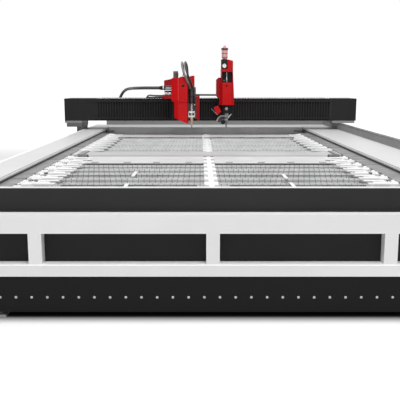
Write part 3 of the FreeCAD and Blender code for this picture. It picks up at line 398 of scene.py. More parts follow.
RAIL_SCREW_PITCH = 0.16
RAIL_SCREW_FIRST = 0.05
RAIL_SCREW_LAST = 0.04
rail_screw_dark = finish("rail_screw_dark", tone(70), tone(50), 0.5, 60, 0.4, 0.1)
for side in ("left", "right"):
    low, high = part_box(side + "_rail")
    along = np.arange(low[1] + RAIL_SCREW_FIRST, high[1] - RAIL_SCREW_LAST, RAIL_SCREW_PITCH)
    middles = np.c_[np.full(len(along), (low[0] + high[0]) / 2), along, np.full(len(along), high[2])]
    turned(side + "_rail_screws", [(0.0075, -0.001), (0.0075, 0.0004), (0.004, 0.0004)], middles,
           (0, 0, 1), 8, rail_screw_dark, "tank", smooth=False)

# Tank
# A welded stainless tank filled with still water to just below the combs' tops. Its side walls have a
# folded lip under the deck, a dark strip of painted shadow below it, and upright straps over the
# plates' joints.
tank_steel = finish("tank_steel", tone(190), tone(150), 0.7, 2.2, 0.38, 0.15)
lip_steel = finish("lip_steel", tone(214), tone(188), 0.6, 2.5, 0.35, 0.12, 0.2)
painted_shadow_grey = finish("painted_shadow_grey", tone(88), tone(60), 0.7, 3.0, 0.5, 0.1)
strap_steel = finish("strap_steel", tone(120), tone(84), 0.8, 5.0, 0.45, 0.1)
# The tank's back wall is painted lighter than its side walls. This is painted light that makes up for
# the gantry beam's shade on it.
end_wall_painted_light = finish("end_wall_painted_light", tone(252), tone(214), 0.9, 1.6, 0.4, 0.12)
dress(tank_steel, "tank_floor", "tank_wall_left", "tank_wall_right", "tank_wall_front")
dress(end_wall_painted_light, "tank_wall_back")
floor_low, floor_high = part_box("tank_floor")
TANK = np.array([[floor_low[0], floor_low[1]], [floor_high[0], floor_high[1]]])
left_wall, right_wall = TANK[:, 0]
deck_under = deck_low[2]
LIP_OUT = 0.016
LIP_HIGH = 0.012
SHADOW_STRIP_OUT = 0.004
SHADOW_STRIP_LOW = 0.034
TOUCH = 0.0005


def wall_strips(name, low, high, out, material):
    """A strip along each side wall of the tank, between two heights."""
    front, rear = TANK[:, 1]
    return bars(name, [(left_wall - TOUCH, front, low), (right_wall - out, front, low)],
                [(left_wall + out, rear, high), (right_wall + TOUCH, rear, high)], material, "tank",
                "stainless")


wall_strips("wall_lip", deck_under - LIP_HIGH, deck_under, LIP_OUT, lip_steel)
# A dark strip of painted shadow under each lip.
wall_strips("wall_painted_shadow", deck_under - SHADOW_STRIP_LOW, deck_under - LIP_HIGH, SHADOW_STRIP_OUT, painted_shadow_grey)

STRAP_WIDE = 0.05
STRAP_OUT = 0.012
STRAP_LOW = 0.70
LEFT_JOINTS = (-3.00, -1.587, -0.17, 1.25, 2.65)
RIGHT_JOINTS = (-3.50, -2.06, -0.33, 1.40, 2.70)


def joint_straps(name, left, right, wide, low, high):
    """A strap over each joint of the side walls' plates: where it ends in x at either wall."""
    lows = [(left[0], y, low) for y in LEFT_JOINTS] + [(right[0], y, low) for y in RIGHT_JOINTS]
    highs = [(left[1], y + wide, high) for y in LEFT_JOINTS]
    highs += [(right[1], y + wide, high) for y in RIGHT_JOINTS]
    return bars(name, lows, highs, strap_steel, "tank", "stainless")


joint_straps("wall_straps", (left_wall - TOUCH, left_wall + STRAP_OUT),
             (right_wall - STRAP_OUT, right_wall + TOUCH), STRAP_WIDE, STRAP_LOW,
             deck_under - SHADOW_STRIP_LOW)

WATER_HIGH = 0.795
WATER_STEPS = 60
RIPPLE_HIGH = 0.0008
water = finish("water", tone(150, 158, 154), tone(120, 130, 126), 0.8, 1.1, 0.08, 0.06)
water.node_tree.nodes["Principled BSDF"].inputs["Specular IOR Level"].default_value = 0.8
u, v = np.meshgrid(np.linspace(0, 1, WATER_STEPS), np.linspace(0, 1, 2 * WATER_STEPS), indexing="ij")
ripple = RIPPLE_HIGH * (np.sin(23 * u + 9 * v) + np.sin(41 * v - 17 * u))
water_grid = np.stack([
    left_wall + u * (right_wall - left_wall),
    TANK[0, 1] + v * (TANK[1, 1] - TANK[0, 1]),
    WATER_HIGH + ripple,
], -1)


def grid_faces(rows, columns):
    """The quads between the points of a grid, rows by columns."""
    corner = (np.arange(rows - 1)[:, None] * columns + np.arange(columns - 1)).ravel()
    return np.c_[corner, corner + columns, corner + columns + 1, corner + 1]


piece("water_surface", water_grid.reshape(-1, 3), grid_faces(WATER_STEPS, 2 * WATER_STEPS), water,
      "tank")

# Bed
# Galvanised combs with slots for the slats, in two sections either side of a wide cross beam. Their
# ends rest in toothed side grips of bright stainless plate, and a notched spine divides the halves.
comb_zinc = finish("comb_zinc", tone(234), tone(212), 0.8, 7.0, 0.45, 0.15)
# Painted shade in the near combs' slots; the plate bolts take the same grey.
slot_shade_and_bolts = finish("slot_shade_and_bolts", tone(172, 173, 171), tone(146, 148, 146), 0.7, 18.0, 0.55, 0.1)
grip_steel = finish("grip_steel", tone(253), tone(240), 0.6, 9.0, 0.35, 0.12)
cross_steel = finish("cross_steel", tone(194), tone(178), 0.7, 1.8, 0.4, 0.12)
bracket_grey = finish("bracket_grey", tone(150), tone(120), 0.7, 8.0, 0.45, 0.1)
# Dark grey of painted shade, for the shadowed stay on one near comb and the outlines round the beam's
# gussets.
edge_painted_shade = finish("edge_painted_shade", tone(96), tone(66), 0.6, 12.0, 0.55, 0.1, specular=0.1)
plate_zinc = finish("plate_zinc", tone(216), tone(196), 0.7, 4.0, 0.42, 0.12, 0.1)
dress(comb_zinc, "comb_plates", "spine_feet")
dress(grip_steel, "spine", "side_grips")
dress(cross_steel, "mid_crossbeam")
dress(plate_zinc, "crossbeam_brackets")

COMB_THICK = 0.010
comb_low, comb_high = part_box("comb_plates")
spine_low, spine_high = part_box("spine")
beam_low, beam_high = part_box("mid_crossbeam")
BED_TOP = comb_high[2]
comb_points = np.empty(3 * len(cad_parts["comb_plates"].data.vertices))
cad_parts["comb_plates"].data.vertices.foreach_get("co", comb_points)
comb_faces = np.unique(comb_points.reshape(-1, 3)[:, 1].round(4))
comb_rows = (comb_faces[::2] + comb_faces[1::2]) / 2
near_rows = comb_rows[comb_rows < beam_low[1]]
far_rows = comb_rows[comb_rows > beam_high[1]]
left_half = (comb_low[0], spine_low[0])
right_half = (spine_high[0], comb_high[0])
SLOT_PITCH = 0.0472
SLOT_WIDE = 0.006
SLOT_PROUD = 0.0012
NEAR_SLOT_DEEP = 0.039
FAR_SLOT_DEEP = 0.02
STRONG_SLOT_DEEP = 0.042
STRONG_SLOT_TOP = -0.017


def slots(name, rows, deep, material, top=SLOT_PROUD):
    """Slots in each comb, dark bars of painted shade, one at every pitch of both halves, between two
    heights by the comb's top.
    """
    across = np.r_[np.arange(left_half[0] + SLOT_PITCH / 2, left_half[1], SLOT_PITCH),
                   np.arange(right_half[0] + SLOT_PITCH / 2, right_half[1], SLOT_PITCH)]
    x, y = (grid.ravel() for grid in np.meshgrid(across, rows))
    half = COMB_THICK / 2 + SLOT_PROUD
    lows = np.c_[x - SLOT_WIDE / 2, y - half, np.full(len(x), BED_TOP - deep)]
    highs = np.c_[x + SLOT_WIDE / 2, y + half, np.full(len(x), BED_TOP + top)]
    return bars(name, lows, highs, material, "tank", "zinc_steel")


# The far combs' slots take lighter and darker painted shade.
far_slot_shade = finish("far_slot_shade", tone(206), tone(190), 0.7, 18.0, 0.55, 0.1)
strong_slot_shade = finish("strong_slot_shade", tone(110), tone(84), 0.7, 18.0, 0.55, 0.1)
slots("near_slots", near_rows, NEAR_SLOT_DEEP, slot_shade_and_bolts)
slots("far_slots", far_rows[2::2], FAR_SLOT_DEEP, far_slot_shade)
slots("far_deep_slots", far_rows[1:6:2], STRONG_SLOT_DEEP, strong_slot_shade, STRONG_SLOT_TOP)


def across_halves(name, spans, low, high, material, ends=(0.0, 0.0)):
    """Bars across both halves of the bed, one for each front and rear, at heights by its top."""
    halves = [(span, half) for span in spans for half in (left_half, right_half)]
    return bars(name, [(half[0] + ends[0], span[0], BED_TOP + low) for span, half in halves],
                [(half[1] - ends[1], span[1], BED_TOP + high) for span, half in halves], material,
                "tank", "zinc_steel")


STAY_THICK = 0.003
NEAR_STAY = (-0.021, -0.016)
FAR_STAY = (-0.036, -0.026)


def stays(name, rows, heights, material):
    """A flat stay along the front of each comb, between two heights by the comb's top."""
    rears = np.asarray(rows) - COMB_THICK / 2 - SLOT_PROUD
    return across_halves(name, [(rear - STAY_THICK, rear) for rear in rears], *heights, material)


stay_grey = finish("stay_grey", tone(176), tone(150), 0.8, 14.0, 0.5, 0.1)
stays("near_stays", near_rows[[2, 4, 5]], NEAR_STAY, stay_grey)
stays("shaded_stays", near_rows[[3]], NEAR_STAY, edge_painted_shade)
stays("far_stays", far_rows[1:6:2], FAR_STAY, stay_grey)

PLATE_THICK = 0.006
PLATE_EDGE = 0.004
NEAR_PLATE_GAP = 0.125
NEAR_PLATE = (-1.80, beam_low[1] - NEAR_PLATE_GAP)
FAR_PLATE = (1.377, 2.0)
NEAR_EDGE_Z = (-0.005, 0.005)
FAR_EDGE_Z = (-0.022, 0.012)
# The front edges of the end plates are strips of painted shade. The far one reaches below the plate as
# a painted shadow gap.
near_edge_shade = finish("near_edge_shade", tone(126), tone(100), 0.6, 12.0, 0.55, 0.1)
far_edge_shade = finish("far_edge_shade", tone(44), tone(30), 0.6, 12.0, 0.55, 0.1, specular=0.1)
across_halves("end_plates", (NEAR_PLATE, FAR_PLATE), 0, PLATE_THICK, plate_zinc)
across_halves("end_plate_shade_edges", [(NEAR_PLATE[0] - PLATE_EDGE, NEAR_PLATE[0])], *NEAR_EDGE_Z,
              near_edge_shade)
across_halves("far_plate_shade_edges", [(FAR_PLATE[0] - PLATE_EDGE, FAR_PLATE[0])], *FAR_EDGE_Z, far_edge_shade)


def blocks(name, places, half, high, material):
    """Low blocks that stand on given places of the bed, with their half sizes in x and y."""
    places = np.array(places, float)
    return bars(name, places - (*half, 0), places + (*half, high), material, "tank", "zinc_steel")


BOLT_SHARES = (0.12, 0.38, 0.62, 0.88)
BOLT_IN = 0.05
BOLT_HALF = (0.035, 0.022)
BOLT_HIGH = 0.006
blocks("plate_bolts", [
    (left + share * (right - left), front + BOLT_IN, BED_TOP + PLATE_THICK)
    for front, rear in (NEAR_PLATE, FAR_PLATE)
    for left, right in (left_half, right_half)
    for share in BOLT_SHARES
], BOLT_HALF, BOLT_HIGH, slot_shade_and_bolts)

# A darker strip of painted shade low on the front of the second near comb.
SHADE_STRIP_ENDS = (0.09, 0.06)
SHADE_STRIP_Y = (0.004, 0.001)
SHADE_STRIP_Z = (-0.026, -0.009)
comb_painted_shade = finish("comb_painted_shade", tone(150, 152, 150), tone(104, 107, 104), 0.9, 9.0, 0.4, 0.15)
shade_strip_front = near_rows[1] - COMB_THICK / 2
across_halves("comb_shade_strip", [(shade_strip_front - SHADE_STRIP_Y[0], shade_strip_front - SHADE_STRIP_Y[1])], *SHADE_STRIP_Z, comb_painted_shade, SHADE_STRIP_ENDS)

clip_steel = finish("clip_steel", tone(246), tone(226), 0.5, 20, 0.3, 0.1)
TIE_WIDE = 0.028
TIE_Z = (BED_TOP + 0.001, BED_TOP + 0.007)
TIES = ((-0.742, -2.737, -2.44), (-0.742, -3.38, -3.17), (0.56, -2.87, -2.61), (0.56, -3.34, -3.12))
bars("tie_bars", [(x - TIE_WIDE / 2, front, TIE_Z[0]) for x, front, rear in TIES],
     [(x + TIE_WIDE / 2, rear, TIE_Z[1]) for x, front, rear in TIES], clip_steel, "tank", "stainless")

grip_low, grip_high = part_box("side_grips")
GRIP_TOP = grip_high[2]
TAB_START = 0.02
TAB_HALF = 0.022
TAB_HIGH = 0.010
TAB_PITCH = 0.305
TABS = ((0.16, -0.10), (0.25, -0.02), (0.20, 0.08))
tab_steel = finish("tab_steel", tone(250), tone(236), 0.5, 12, 0.28, 0.1)
# Dark grey of painted shade for the patches between the grip's tongues; the square marks take the same
# grey.
tab_shade_and_marks = finish("tab_shade_and_marks", tone(120), tone(88), 0.6, 14, 0.5, 0.1)
tab_lows = []
tab_highs = []
for section in (near_rows, far_rows):
    stretch = (section[1] - section[0]) / TAB_PITCH
    for row in section:
        for wall, way in ((left_wall, 1), (right_wall, -1)):
            for reach, shift in TABS:
                ends = sorted((wall + way * TAB_START, wall + way * reach))
                y = row + shift * stretch
                tab_lows.append((ends[0], y - TAB_HALF, GRIP_TOP))
                tab_highs.append((ends[1], y + TAB_HALF, GRIP_TOP + TAB_HIGH))
bars("grip_tabs", tab_lows, tab_highs, tab_steel, "tank", "stainless")


def side_plates(name, fronts, reach, deep, high, material, slot):
    """Small plates on the bed along both walls, between two distances from the wall."""
    near, far = reach
    lows = [(x, y, BED_TOP) for x in (left_wall + near, right_wall - far) for y in fronts]
    return bars(name, lows, np.array(lows) + (far - near, deep, high), material, "tank", slot)


TONGUE_REACH = (0.25, 0.42)
TONGUE_DEEP = 0.052
TONGUE_HIGH = 0.014
HEEL_REACH = (0.36, 0.45)
HEEL_DEEP = 0.05
HEEL_HIGH = 0.009
tongue_rows = np.r_[near_rows[1:] - 0.06, near_rows[1:7] + 0.09, far_rows[:6] - 0.03]
side_plates("grip_tongues", tongue_rows - TONGUE_DEEP / 2, TONGUE_REACH, TONGUE_DEEP, TONGUE_HIGH,
            tab_steel, "stainless")
heel_rows = np.r_[near_rows[1:7] + 0.012, far_rows[:6] + 0.05]
side_plates("grip_heel_shade", heel_rows, HEEL_REACH, HEEL_DEEP, HEEL_HIGH, tab_shade_and_marks, "zinc_steel")
MARK_HALF = (0.014, 0.02)
MARK_HIGH = 0.012
SQUARE_MARKS = ((-1.535, -3.07), (-1.49, -3.07), (-1.518, -2.60), (-1.49, -1.90), (1.34, -1.90),
                (1.33, -2.60), (1.36, -3.07))
blocks("grip_marks", [(x, y, GRIP_TOP) for x, y in SQUARE_MARKS], MARK_HALF, MARK_HIGH, tab_shade_and_marks)

LEDGE_LEFT = 0.135
LEDGE_RIGHT = 0.172
LEDGE_HIGH = 0.0125
SEAM_WIDE = 0.045
SEAM_OUT = 0.001
SEAM_OVER = 0.002
ledge_grey = finish("ledge_grey", tone(138), tone(104), 0.8, 6.0, 0.45, 0.12)
bars("wall_ledges",
     [(left_wall, grip_low[1], GRIP_TOP), (right_wall - LEDGE_RIGHT, grip_low[1], GRIP_TOP)],
     [(left_wall + LEDGE_LEFT, grip_high[1], GRIP_TOP + LEDGE_HIGH),
      (right_wall, grip_high[1], GRIP_TOP + LEDGE_HIGH)], ledge_grey, "tank", "stainless")
joint_straps("ledge_seams", (left_wall, left_wall + LEDGE_LEFT + SEAM_OUT),
             (right_wall - LEDGE_RIGHT - SEAM_OUT, right_wall), SEAM_WIDE, GRIP_TOP,
             GRIP_TOP + LEDGE_HIGH + SEAM_OVER)

END_BOXES = ((-1.525, -1.470), (1.3445, 1.386))
BOX_BACK = 0.03
BOX_HIGH = 0.015
box_front, box_rear = beam_low[1], beam_high[1] + BOX_BACK
box_top = BED_TOP + BOX_HIGH
bars("beam_end_boxes", [(left, box_front, BED_TOP) for left, right in END_BOXES],
     [(right, box_rear, box_top) for left, right in END_BOXES], bracket_grey, "tank", "zinc_steel")
GUSSETS = ((-1.520, -1.411), (1.259, 1.386))
GUSSET_LOW = 0.816
GUSSET_THICK = 0.006
gusset_front = box_front - GUSSET_THICK
bars("beam_gussets", [(left, gusset_front, GUSSET_LOW) for left, right in GUSSETS],
     [(right, box_front, box_top) for left, right in GUSSETS], bracket_grey, "tank", "zinc_steel")
RIM = 0.010
RIM_OVER = 0.002
rim_lows = []
rim_highs = []
for (left, right), inner in zip(GUSSETS, (GUSSETS[0][1], GUSSETS[1][0])):
    rim_lows += [(left, gusset_front - GUSSET_THICK, GUSSET_LOW - RIM),
                 (inner - RIM / 2, gusset_front - GUSSET_THICK, GUSSET_LOW)]
    rim_highs += [(right, gusset_front, GUSSET_LOW + RIM_OVER),
                  (inner + RIM / 2, gusset_front, box_top)]
bars("beam_gusset_rims", rim_lows, rim_highs, edge_painted_shade, "tank", "zinc_steel")
SPINE_STOP = ((-0.116, 1.300, 0.820), (-0.010, 1.360, 0.868))
bars("spine_stop", *SPINE_STOP, bracket_grey, "tank", "zinc_steel")

# Gantry
# A welded steel box beam on a grey leg and saddle at the left and a carriage at the right. A pleated
# fabric cover protects its front, with plain folded covers at both ends.
beam_paint = finish("beam_paint", tone(34), tone(40), 0.5, 2.0, 0.5, 0.1, specular=0.15)
fold_fabric = finish("fold_fabric", tone(40), tone(48), 0.5, 3.0, 0.55, 0.1, specular=0.15)
cover_paint = finish("cover_paint", tone(33), tone(38), 0.5, 1.5, 0.45, 0.1, specular=0.12)
fold_edge = finish("fold_edge", tone(200), tone(170), 0.5, 6.0, 0.5, 0.1)
leg_grey = finish("leg_grey", tone(92), tone(74), 0.6, 3.0, 0.45, 0.1)
saddle_paint = finish("saddle_paint", tone(132), tone(116), 0.6, 3.0, 0.4, 0.1)
dress(beam_paint, "gantry_beam", "head_rails", "left_head_plate", "right_head_plate")
dress(cover_paint, "end_covers")
dress(fold_fabric, "bellows_cover")
dress(leg_grey, "left_leg", "left_drive_box")
dress(saddle_paint, "left_saddle")
dress(guide_paint, "right_carriage")

cover_low, cover_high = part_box("bellows_cover")
FOLD_PITCH = 0.042
FOLD_RISE = 0.007
FOLD_START = 0.010
FOLD_END = 0.006
FOLD_FRONT = 0.004
FOLD_BACK = 0.05
fold_count = int((cover_high[0] - cover_low[0]) / FOLD_PITCH)
fold_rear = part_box("gantry_beam")[1][1] - FOLD_BACK
cover_top = cover_high[2]
fold_x = cover_low[0] + FOLD_PITCH * np.arange(fold_count)
bars("cover_top_folds", [(x + FOLD_START, cover_low[1] + FOLD_FRONT, cover_top) for x in fold_x],
     [(x + FOLD_PITCH - FOLD_END, fold_rear, cover_top + FOLD_RISE) for x in fold_x], fold_edge,
     "gantry", "bellows_rubber")
TRAY_X = (-1.030, -0.560)
TRAY_Y = (2.400, 2.600)
TRAY_RISE = 0.025
bars("cable_tray", (TRAY_X[0], TRAY_Y[0], cover_top), (TRAY_X[1], TRAY_Y[1], cover_top + TRAY_RISE),
     cover_paint, "gantry", "black_paint")

# Left head
# A red painted sheet-metal housing on the carriage plate, with a round port, a motor and hydraulic
# fittings. The valve and the steel cutting head stand in a recess beside a red guard plate.
red_paint = finish("red_paint", tone(200, 8, 14), tone(184, 6, 12), 0.5, 2.5, 0.34, 0.1, specular=0.12)
dark_red_paint = finish("dark_red_paint", tone(156, 8, 18), tone(134, 6, 12), 0.5, 3.0, 0.36, 0.1,
                        specular=0.12)
motor_paint = finish("motor_paint", tone(104), tone(84), 0.6, 14, 0.45, 0.1)
bright_steel = finish("bright_steel", tone(214), tone(150), 0.9, 60, 0.26, 0.12, 0.3)
valve_paint = finish("valve_paint", tone(30), tone(42), 0.5, 16, 0.35, 0.12)
dress(red_paint, "left_housing", "right_housing", "right_wrist_box")
dress(dark_red_paint, "left_side_box", "left_guard_plate", "right_side_box")
dress(motor_paint, "left_motor")
dress(bright_steel, "left_connectors", "left_cutting_head")
dress(valve_paint, "left_valve", "left_bracket")

# Dark discs of painted shade stand for the holes of the housing's port and of the right housing's
# recess.
hole_painted_shade = finish("hole_painted_shade", tone(70, 12, 16), tone(40, 8, 10), 0.6, 30, 0.5, 0.1, specular=0.1)
steel_rim = finish("steel_rim", tone(120, 20, 24), tone(90, 14, 18), 0.5, 30, 0.35, 0.1)
housing_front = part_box("left_housing")[0][1]
PORT = (-0.426, housing_front, 1.611)
PORT_RADIUS = 0.021
turned("housing_port_rim", [(PORT_RADIUS + 0.005, -0.001), (PORT_RADIUS + 0.005, 0.003),
                            (PORT_RADIUS, 0.004)], [PORT], (0, -1, 0), 24, steel_rim, "left_head")
turned("housing_port", [(PORT_RADIUS, 0.002), (PORT_RADIUS - 0.002, 0.0045)], [PORT], (0, -1, 0), 24,
       hole_painted_shade, "left_head")

HOUSING_OUT = -0.606
FACET_IN = -0.503
FACET_BACK = housing_front + 0.055
FACET_Z = (1.389, 1.712)
SKIN = 0.0012
# The left facet of the housing is a thin skin of a slightly different red: painted shading for the way
# that facet faces the light.
facet_shading_red = finish("facet_shading_red", tone(206, 14, 20), tone(188, 8, 14), 0.6, 3.0, 0.34, 0.1, specular=0.12)
highlight_red = finish("highlight_red", tone(226, 44, 44), tone(214, 28, 30), 0.6, 5.0, 0.3, 0.1, specular=0.2)
facet_points = [(x, y - lift, z) for lift in (0, SKIN) for z in FACET_Z for x, y in
                ((HOUSING_OUT, FACET_BACK), (FACET_IN, housing_front))]
piece("left_facet_shading", facet_points, BAR_FACES, facet_shading_red, "left_head")
# A narrow light red strip at the facet's edge is a painted highlight.
HIGHLIGHT_X = (FACET_IN - 0.002, FACET_IN + 0.008)
HIGHLIGHT_Z = (FACET_Z[0], FACET_Z[1] + 0.03)
bars("left_facet_highlight", (HIGHLIGHT_X[0], housing_front - SKIN, HIGHLIGHT_Z[0]),
     (HIGHLIGHT_X[1], housing_front, HIGHLIGHT_Z[1]), highlight_red, "left_head", "red_paint")
SHADOW_LINE_RIGHT = -0.352
SHADOW_LINE_Z = (1.352, 1.358)
EDGE_X = (-0.358, -0.349)
EDGE_Z = (1.06, 1.745)
# Dark red strips: a painted shadow line under the upper housing, painted shade down its right edge, and
# the right housing's seams.
seam_and_shade_red = finish("seam_and_shade_red", tone(120, 10, 16), tone(96, 8, 12), 0.5, 20, 0.45, 0.1, specular=0.1)
bars("left_housing_shadow_line", (FACET_IN, housing_front - SKIN, SHADOW_LINE_Z[0]),
     (SHADOW_LINE_RIGHT, housing_front, SHADOW_LINE_Z[1]), seam_and_shade_red, "left_head", "red_paint")
bars("left_housing_shaded_edge", (EDGE_X[0], housing_front - SKIN, EDGE_Z[0]),
     (EDGE_X[1], housing_front, EDGE_Z[1]), seam_and_shade_red, "left_head", "red_paint")

VALVE_MOUNT = ((-0.350, 2.080, 1.454), (-0.232, 2.272, 1.588))
bars("valve_mount", *VALVE_MOUNT, valve_paint, "left_head", "black_paint")

# Fittings
# Steel unions with black seals on the red manifold, crimped steel ferrules on the hoses, a brass
# feed fitting and nozzle sleeve, and black collars round the valve.
HEAD_WINDOWS = ((-0.326, 1.1815), (-0.264, 1.1815))
HEAD_WINDOW_HALF = (0.012, 0.017)
head_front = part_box("left_cutting_head")[0][1]
half_wide, half_high = HEAD_WINDOW_HALF
bars("cutting_head_windows",
     [(x - half_wide, head_front - 0.001, z - half_high) for x, z in HEAD_WINDOWS],
     [(x + half_wide, head_front + 0.002, z + half_high) for x, z in HEAD_WINDOWS], valve_paint,
     "left_head", "black_paint")
brass = finish("brass", tone(212, 194, 152), tone(176, 156, 112), 0.7, 40, 0.3, 0.12, 0.2)
seal_black = finish("seal_black", tone(24), tone(36), 0.5, 40, 0.5, 0.1, specular=0.2)
MANIFOLD_TOP = 1.475
UNION_X = (-0.634, -0.690)
GLAND_X = -0.722
fitting_y, gland_z = CONDUIT[0][1:]
union_middles = [(x, fitting_y, MANIFOLD_TOP) for x in UNION_X]
turned("union_seals", [(0.0255, 0.036), (0.0275, 0.040), (0.0275, 0.056), (0.0255, 0.060)],
       union_middles, (0, 0, 1), 16, seal_black, "left_head")
turned("union_feet", [(0.020, 0.0), (0.0265, 0.002), (0.0265, 0.016), (0.020, 0.018)],
       union_middles, (0, 0, 1), 6, bright_steel, "left_head", smooth=False)
turned("gland_seal", [(0.034, 0.0), (0.036, 0.004), (0.036, 0.018), (0.034, 0.022)],
       [(GLAND_X, fitting_y, gland_z)], (1, 0, 0), 24, seal_black, "left_head")
turned("conduit_sleeve", [(0.033, 0.0), (0.033, 0.012), (0.0262, 0.050), (0.0250, 0.052)],
       [CONDUIT[0]], (-1, 0, 0), 24, seal_black, "left_head")
turned("hose_ferrules", [(0.0165, 0.0), (0.0190, 0.002), (0.0190, 0.034), (0.0163, 0.038)],
       [GREY_HOSE[0], BLACK_HOSE[0]], (0, 0, 1), 16, bright_steel, "left_head")
valve_low, valve_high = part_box("left_valve")
VALVE_AT = ((valve_low[0] + valve_high[0]) / 2, (valve_low[1] + valve_high[1]) / 2)
COLLAR_Z = (1.352, 1.440, 1.528)
turned("valve_collars", [(0.0455, 0.0), (0.0475, 0.002), (0.0475, 0.010), (0.0455, 0.012)],
       [(*VALVE_AT, z) for z in COLLAR_Z], (0, 0, 1), 32, seal_black, "left_head")
FEED_AT = (-0.262, 1.975, 1.318)
SLEEVE_AT = (-0.296, 2.000, 1.126)
turned("feed_fitting", [(0.008, 0.0), (0.011, 0.002), (0.011, 0.020), (0.007, 0.022), (0.007, 0.040)],
       [FEED_AT], (1, 0, 0), 12, brass, "left_head")
turned("nozzle_sleeve", [(0.0170, 0.0), (0.0230, 0.006), (0.0230, 0.036), (0.0170, 0.060),
                         (0.0125, 0.110), (0.0080, 0.154)],
       [SLEEVE_AT], (0, 0, -1), 20, brass, "left_head")
MOTOR_AT = (-0.538, 2.060)
RIB_Z = (1.742, 1.760, 1.778, 1.796)
turned("motor_ribs", [(0.0385, 0.0), (0.0405, 0.001), (0.0405, 0.008), (0.0385, 0.009)],
       [(*MOTOR_AT, z) for z in RIB_Z], (0, 0, 1), 32, valve_paint, "left_head")

# Right head
# A narrower red housing with a window onto its feed rod, a gauge and a clear abrasive hopper on top,
# and below it a black drum that turns the arc link and the tilting nozzle.
gauge_paint = finish("gauge_paint", tone(24), tone(34), 0.5, 12, 0.4, 0.1, specular=0.15)
hopper_plastic = finish("hopper_plastic", tone(226, 176, 172), tone(204, 130, 128), 0.8, 26, 0.2, 0.1)
drum_paint = finish("drum_paint", tone(20), tone(32), 0.5, 10, 0.4, 0.12, specular=0.15)
dress(gauge_paint, "right_gauge_box")
dress(hopper_plastic, "right_hopper")
dress(drum_paint, "right_wrist_drum")
arc_steel = finish("arc_steel", tone(164), tone(96), 1.0, 70, 0.3, 0.12, 0.2)
tip_steel = finish("tip_steel", tone(110), tone(70), 0.8, 60, 0.3, 0.12, 0.2)
dress(arc_steel, "right_arc_link")
dress(tip_steel, "right_nozzle")
SIDE_JOINT = ((0.130, 2.000, 1.600), (0.172, 2.250, 1.735))
bars("right_side_joint", *SIDE_JOINT, dark_red_paint, "right_head", "red_paint")

right_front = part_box("right_housing")[0][1]
WINDOW_X = (0.170, 0.330)
WINDOW_Z = (1.660, 1.821)
WINDOW_BACK = right_front + 0.090
LINER = 0.004
window_dark = finish("window_dark", tone(42, 30, 36), tone(28, 22, 26), 0.6, 12, 0.45, 0.1,
                     specular=0.15)
lining_front = right_front + 0.001
bars("window_lining", [
    (WINDOW_X[0], WINDOW_BACK - LINER, WINDOW_Z[0]),
    (WINDOW_X[0], lining_front, WINDOW_Z[0]),
    (WINDOW_X[1] - LINER, lining_front, WINDOW_Z[0]),
    (WINDOW_X[0], lining_front, WINDOW_Z[0]),
    (WINDOW_X[0], lining_front, WINDOW_Z[1] - LINER),
], [
    (WINDOW_X[1], WINDOW_BACK, WINDOW_Z[1]),
    (WINDOW_X[0] + LINER, WINDOW_BACK, WINDOW_Z[1]),
    (WINDOW_X[1], WINDOW_BACK, WINDOW_Z[1]),
    (WINDOW_X[1], WINDOW_BACK, WINDOW_Z[0] + LINER),
    (WINDOW_X[1], WINDOW_BACK, WINDOW_Z[1]),
], window_dark, "right_head", "black_paint")
ROD_AT = (0.2430, right_front + 0.045, WINDOW_Z[0] + LINER)
turned("feed_rod", [(0.008, 0.0), (0.011, 0.004), (0.011, 0.060), (0.007, 0.066), (0.007, 0.120),
                    (0.012, 0.124), (0.012, 0.150), (0.008, 0.154)],
       [ROD_AT], (0, 0, 1), 20, bright_steel, "right_head")
lamp_green = finish("lamp_green", tone(60, 190, 110), tone(40, 150, 84), 0.5, 60, 0.2, 0.05)
LAMP_X = 0.203
LAMP_HALF = 0.008
lamp_back = WINDOW_BACK - LINER - 0.030
turned("window_lamp", [(0.010, 0.0), (0.010, 0.004), (0.007, 0.008), (0.003, 0.010)],
       [(LAMP_X, lamp_back, 1.690)], (0, -1, 0), 16, lamp_green, "right_head")
bars("window_lamp_stand", (LAMP_X - LAMP_HALF, lamp_back, WINDOW_Z[0] + LINER),
     (LAMP_X + LAMP_HALF, WINDOW_BACK - LINER, 1.700), window_dark, "right_head", "black_paint")

gauge_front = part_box("right_gauge_box")[0][1]
GAUGE = (0.207, gauge_front, 1.910)
gauge_rim = finish("gauge_rim", tone(120), tone(96), 0.5, 40, 0.3, 0.1, 0.3)
gauge_face = finish("gauge_face", tone(250), tone(240), 0.4, 20, 0.3, 0.05)
turned("gauge_rim", [(0.034, -0.001), (0.036, 0.004), (0.036, 0.014), (0.032, 0.018)], [GAUGE],
       (0, -1, 0), 32, gauge_rim, "right_head")
turned("gauge_face", [(0.031, 0.012), (0.030, 0.0195)], [GAUGE], (0, -1, 0), 32, gauge_face,
       "right_head")
TICK_COUNT = 9
TICK_RADIUS = 0.025
TICK_HALF = 0.0012
tick_angle = np.radians(np.linspace(-45, 225, TICK_COUNT))
tick_middle = np.c_[GAUGE[0] + TICK_RADIUS * np.cos(tick_angle),
                    np.full(TICK_COUNT, gauge_front - 0.020),
                    GAUGE[2] + TICK_RADIUS * np.sin(tick_angle)]
bars("gauge_ticks", tick_middle - TICK_HALF, tick_middle + TICK_HALF, gauge_paint, "right_head",
     "black_paint")
bars("gauge_needle", (GAUGE[0] - TICK_HALF, gauge_front - 0.0215, GAUGE[2] - 0.004),
     (GAUGE[0] + TICK_HALF, gauge_front - 0.0195, GAUGE[2] + 0.020), gauge_paint, "right_head",
     "black_paint")

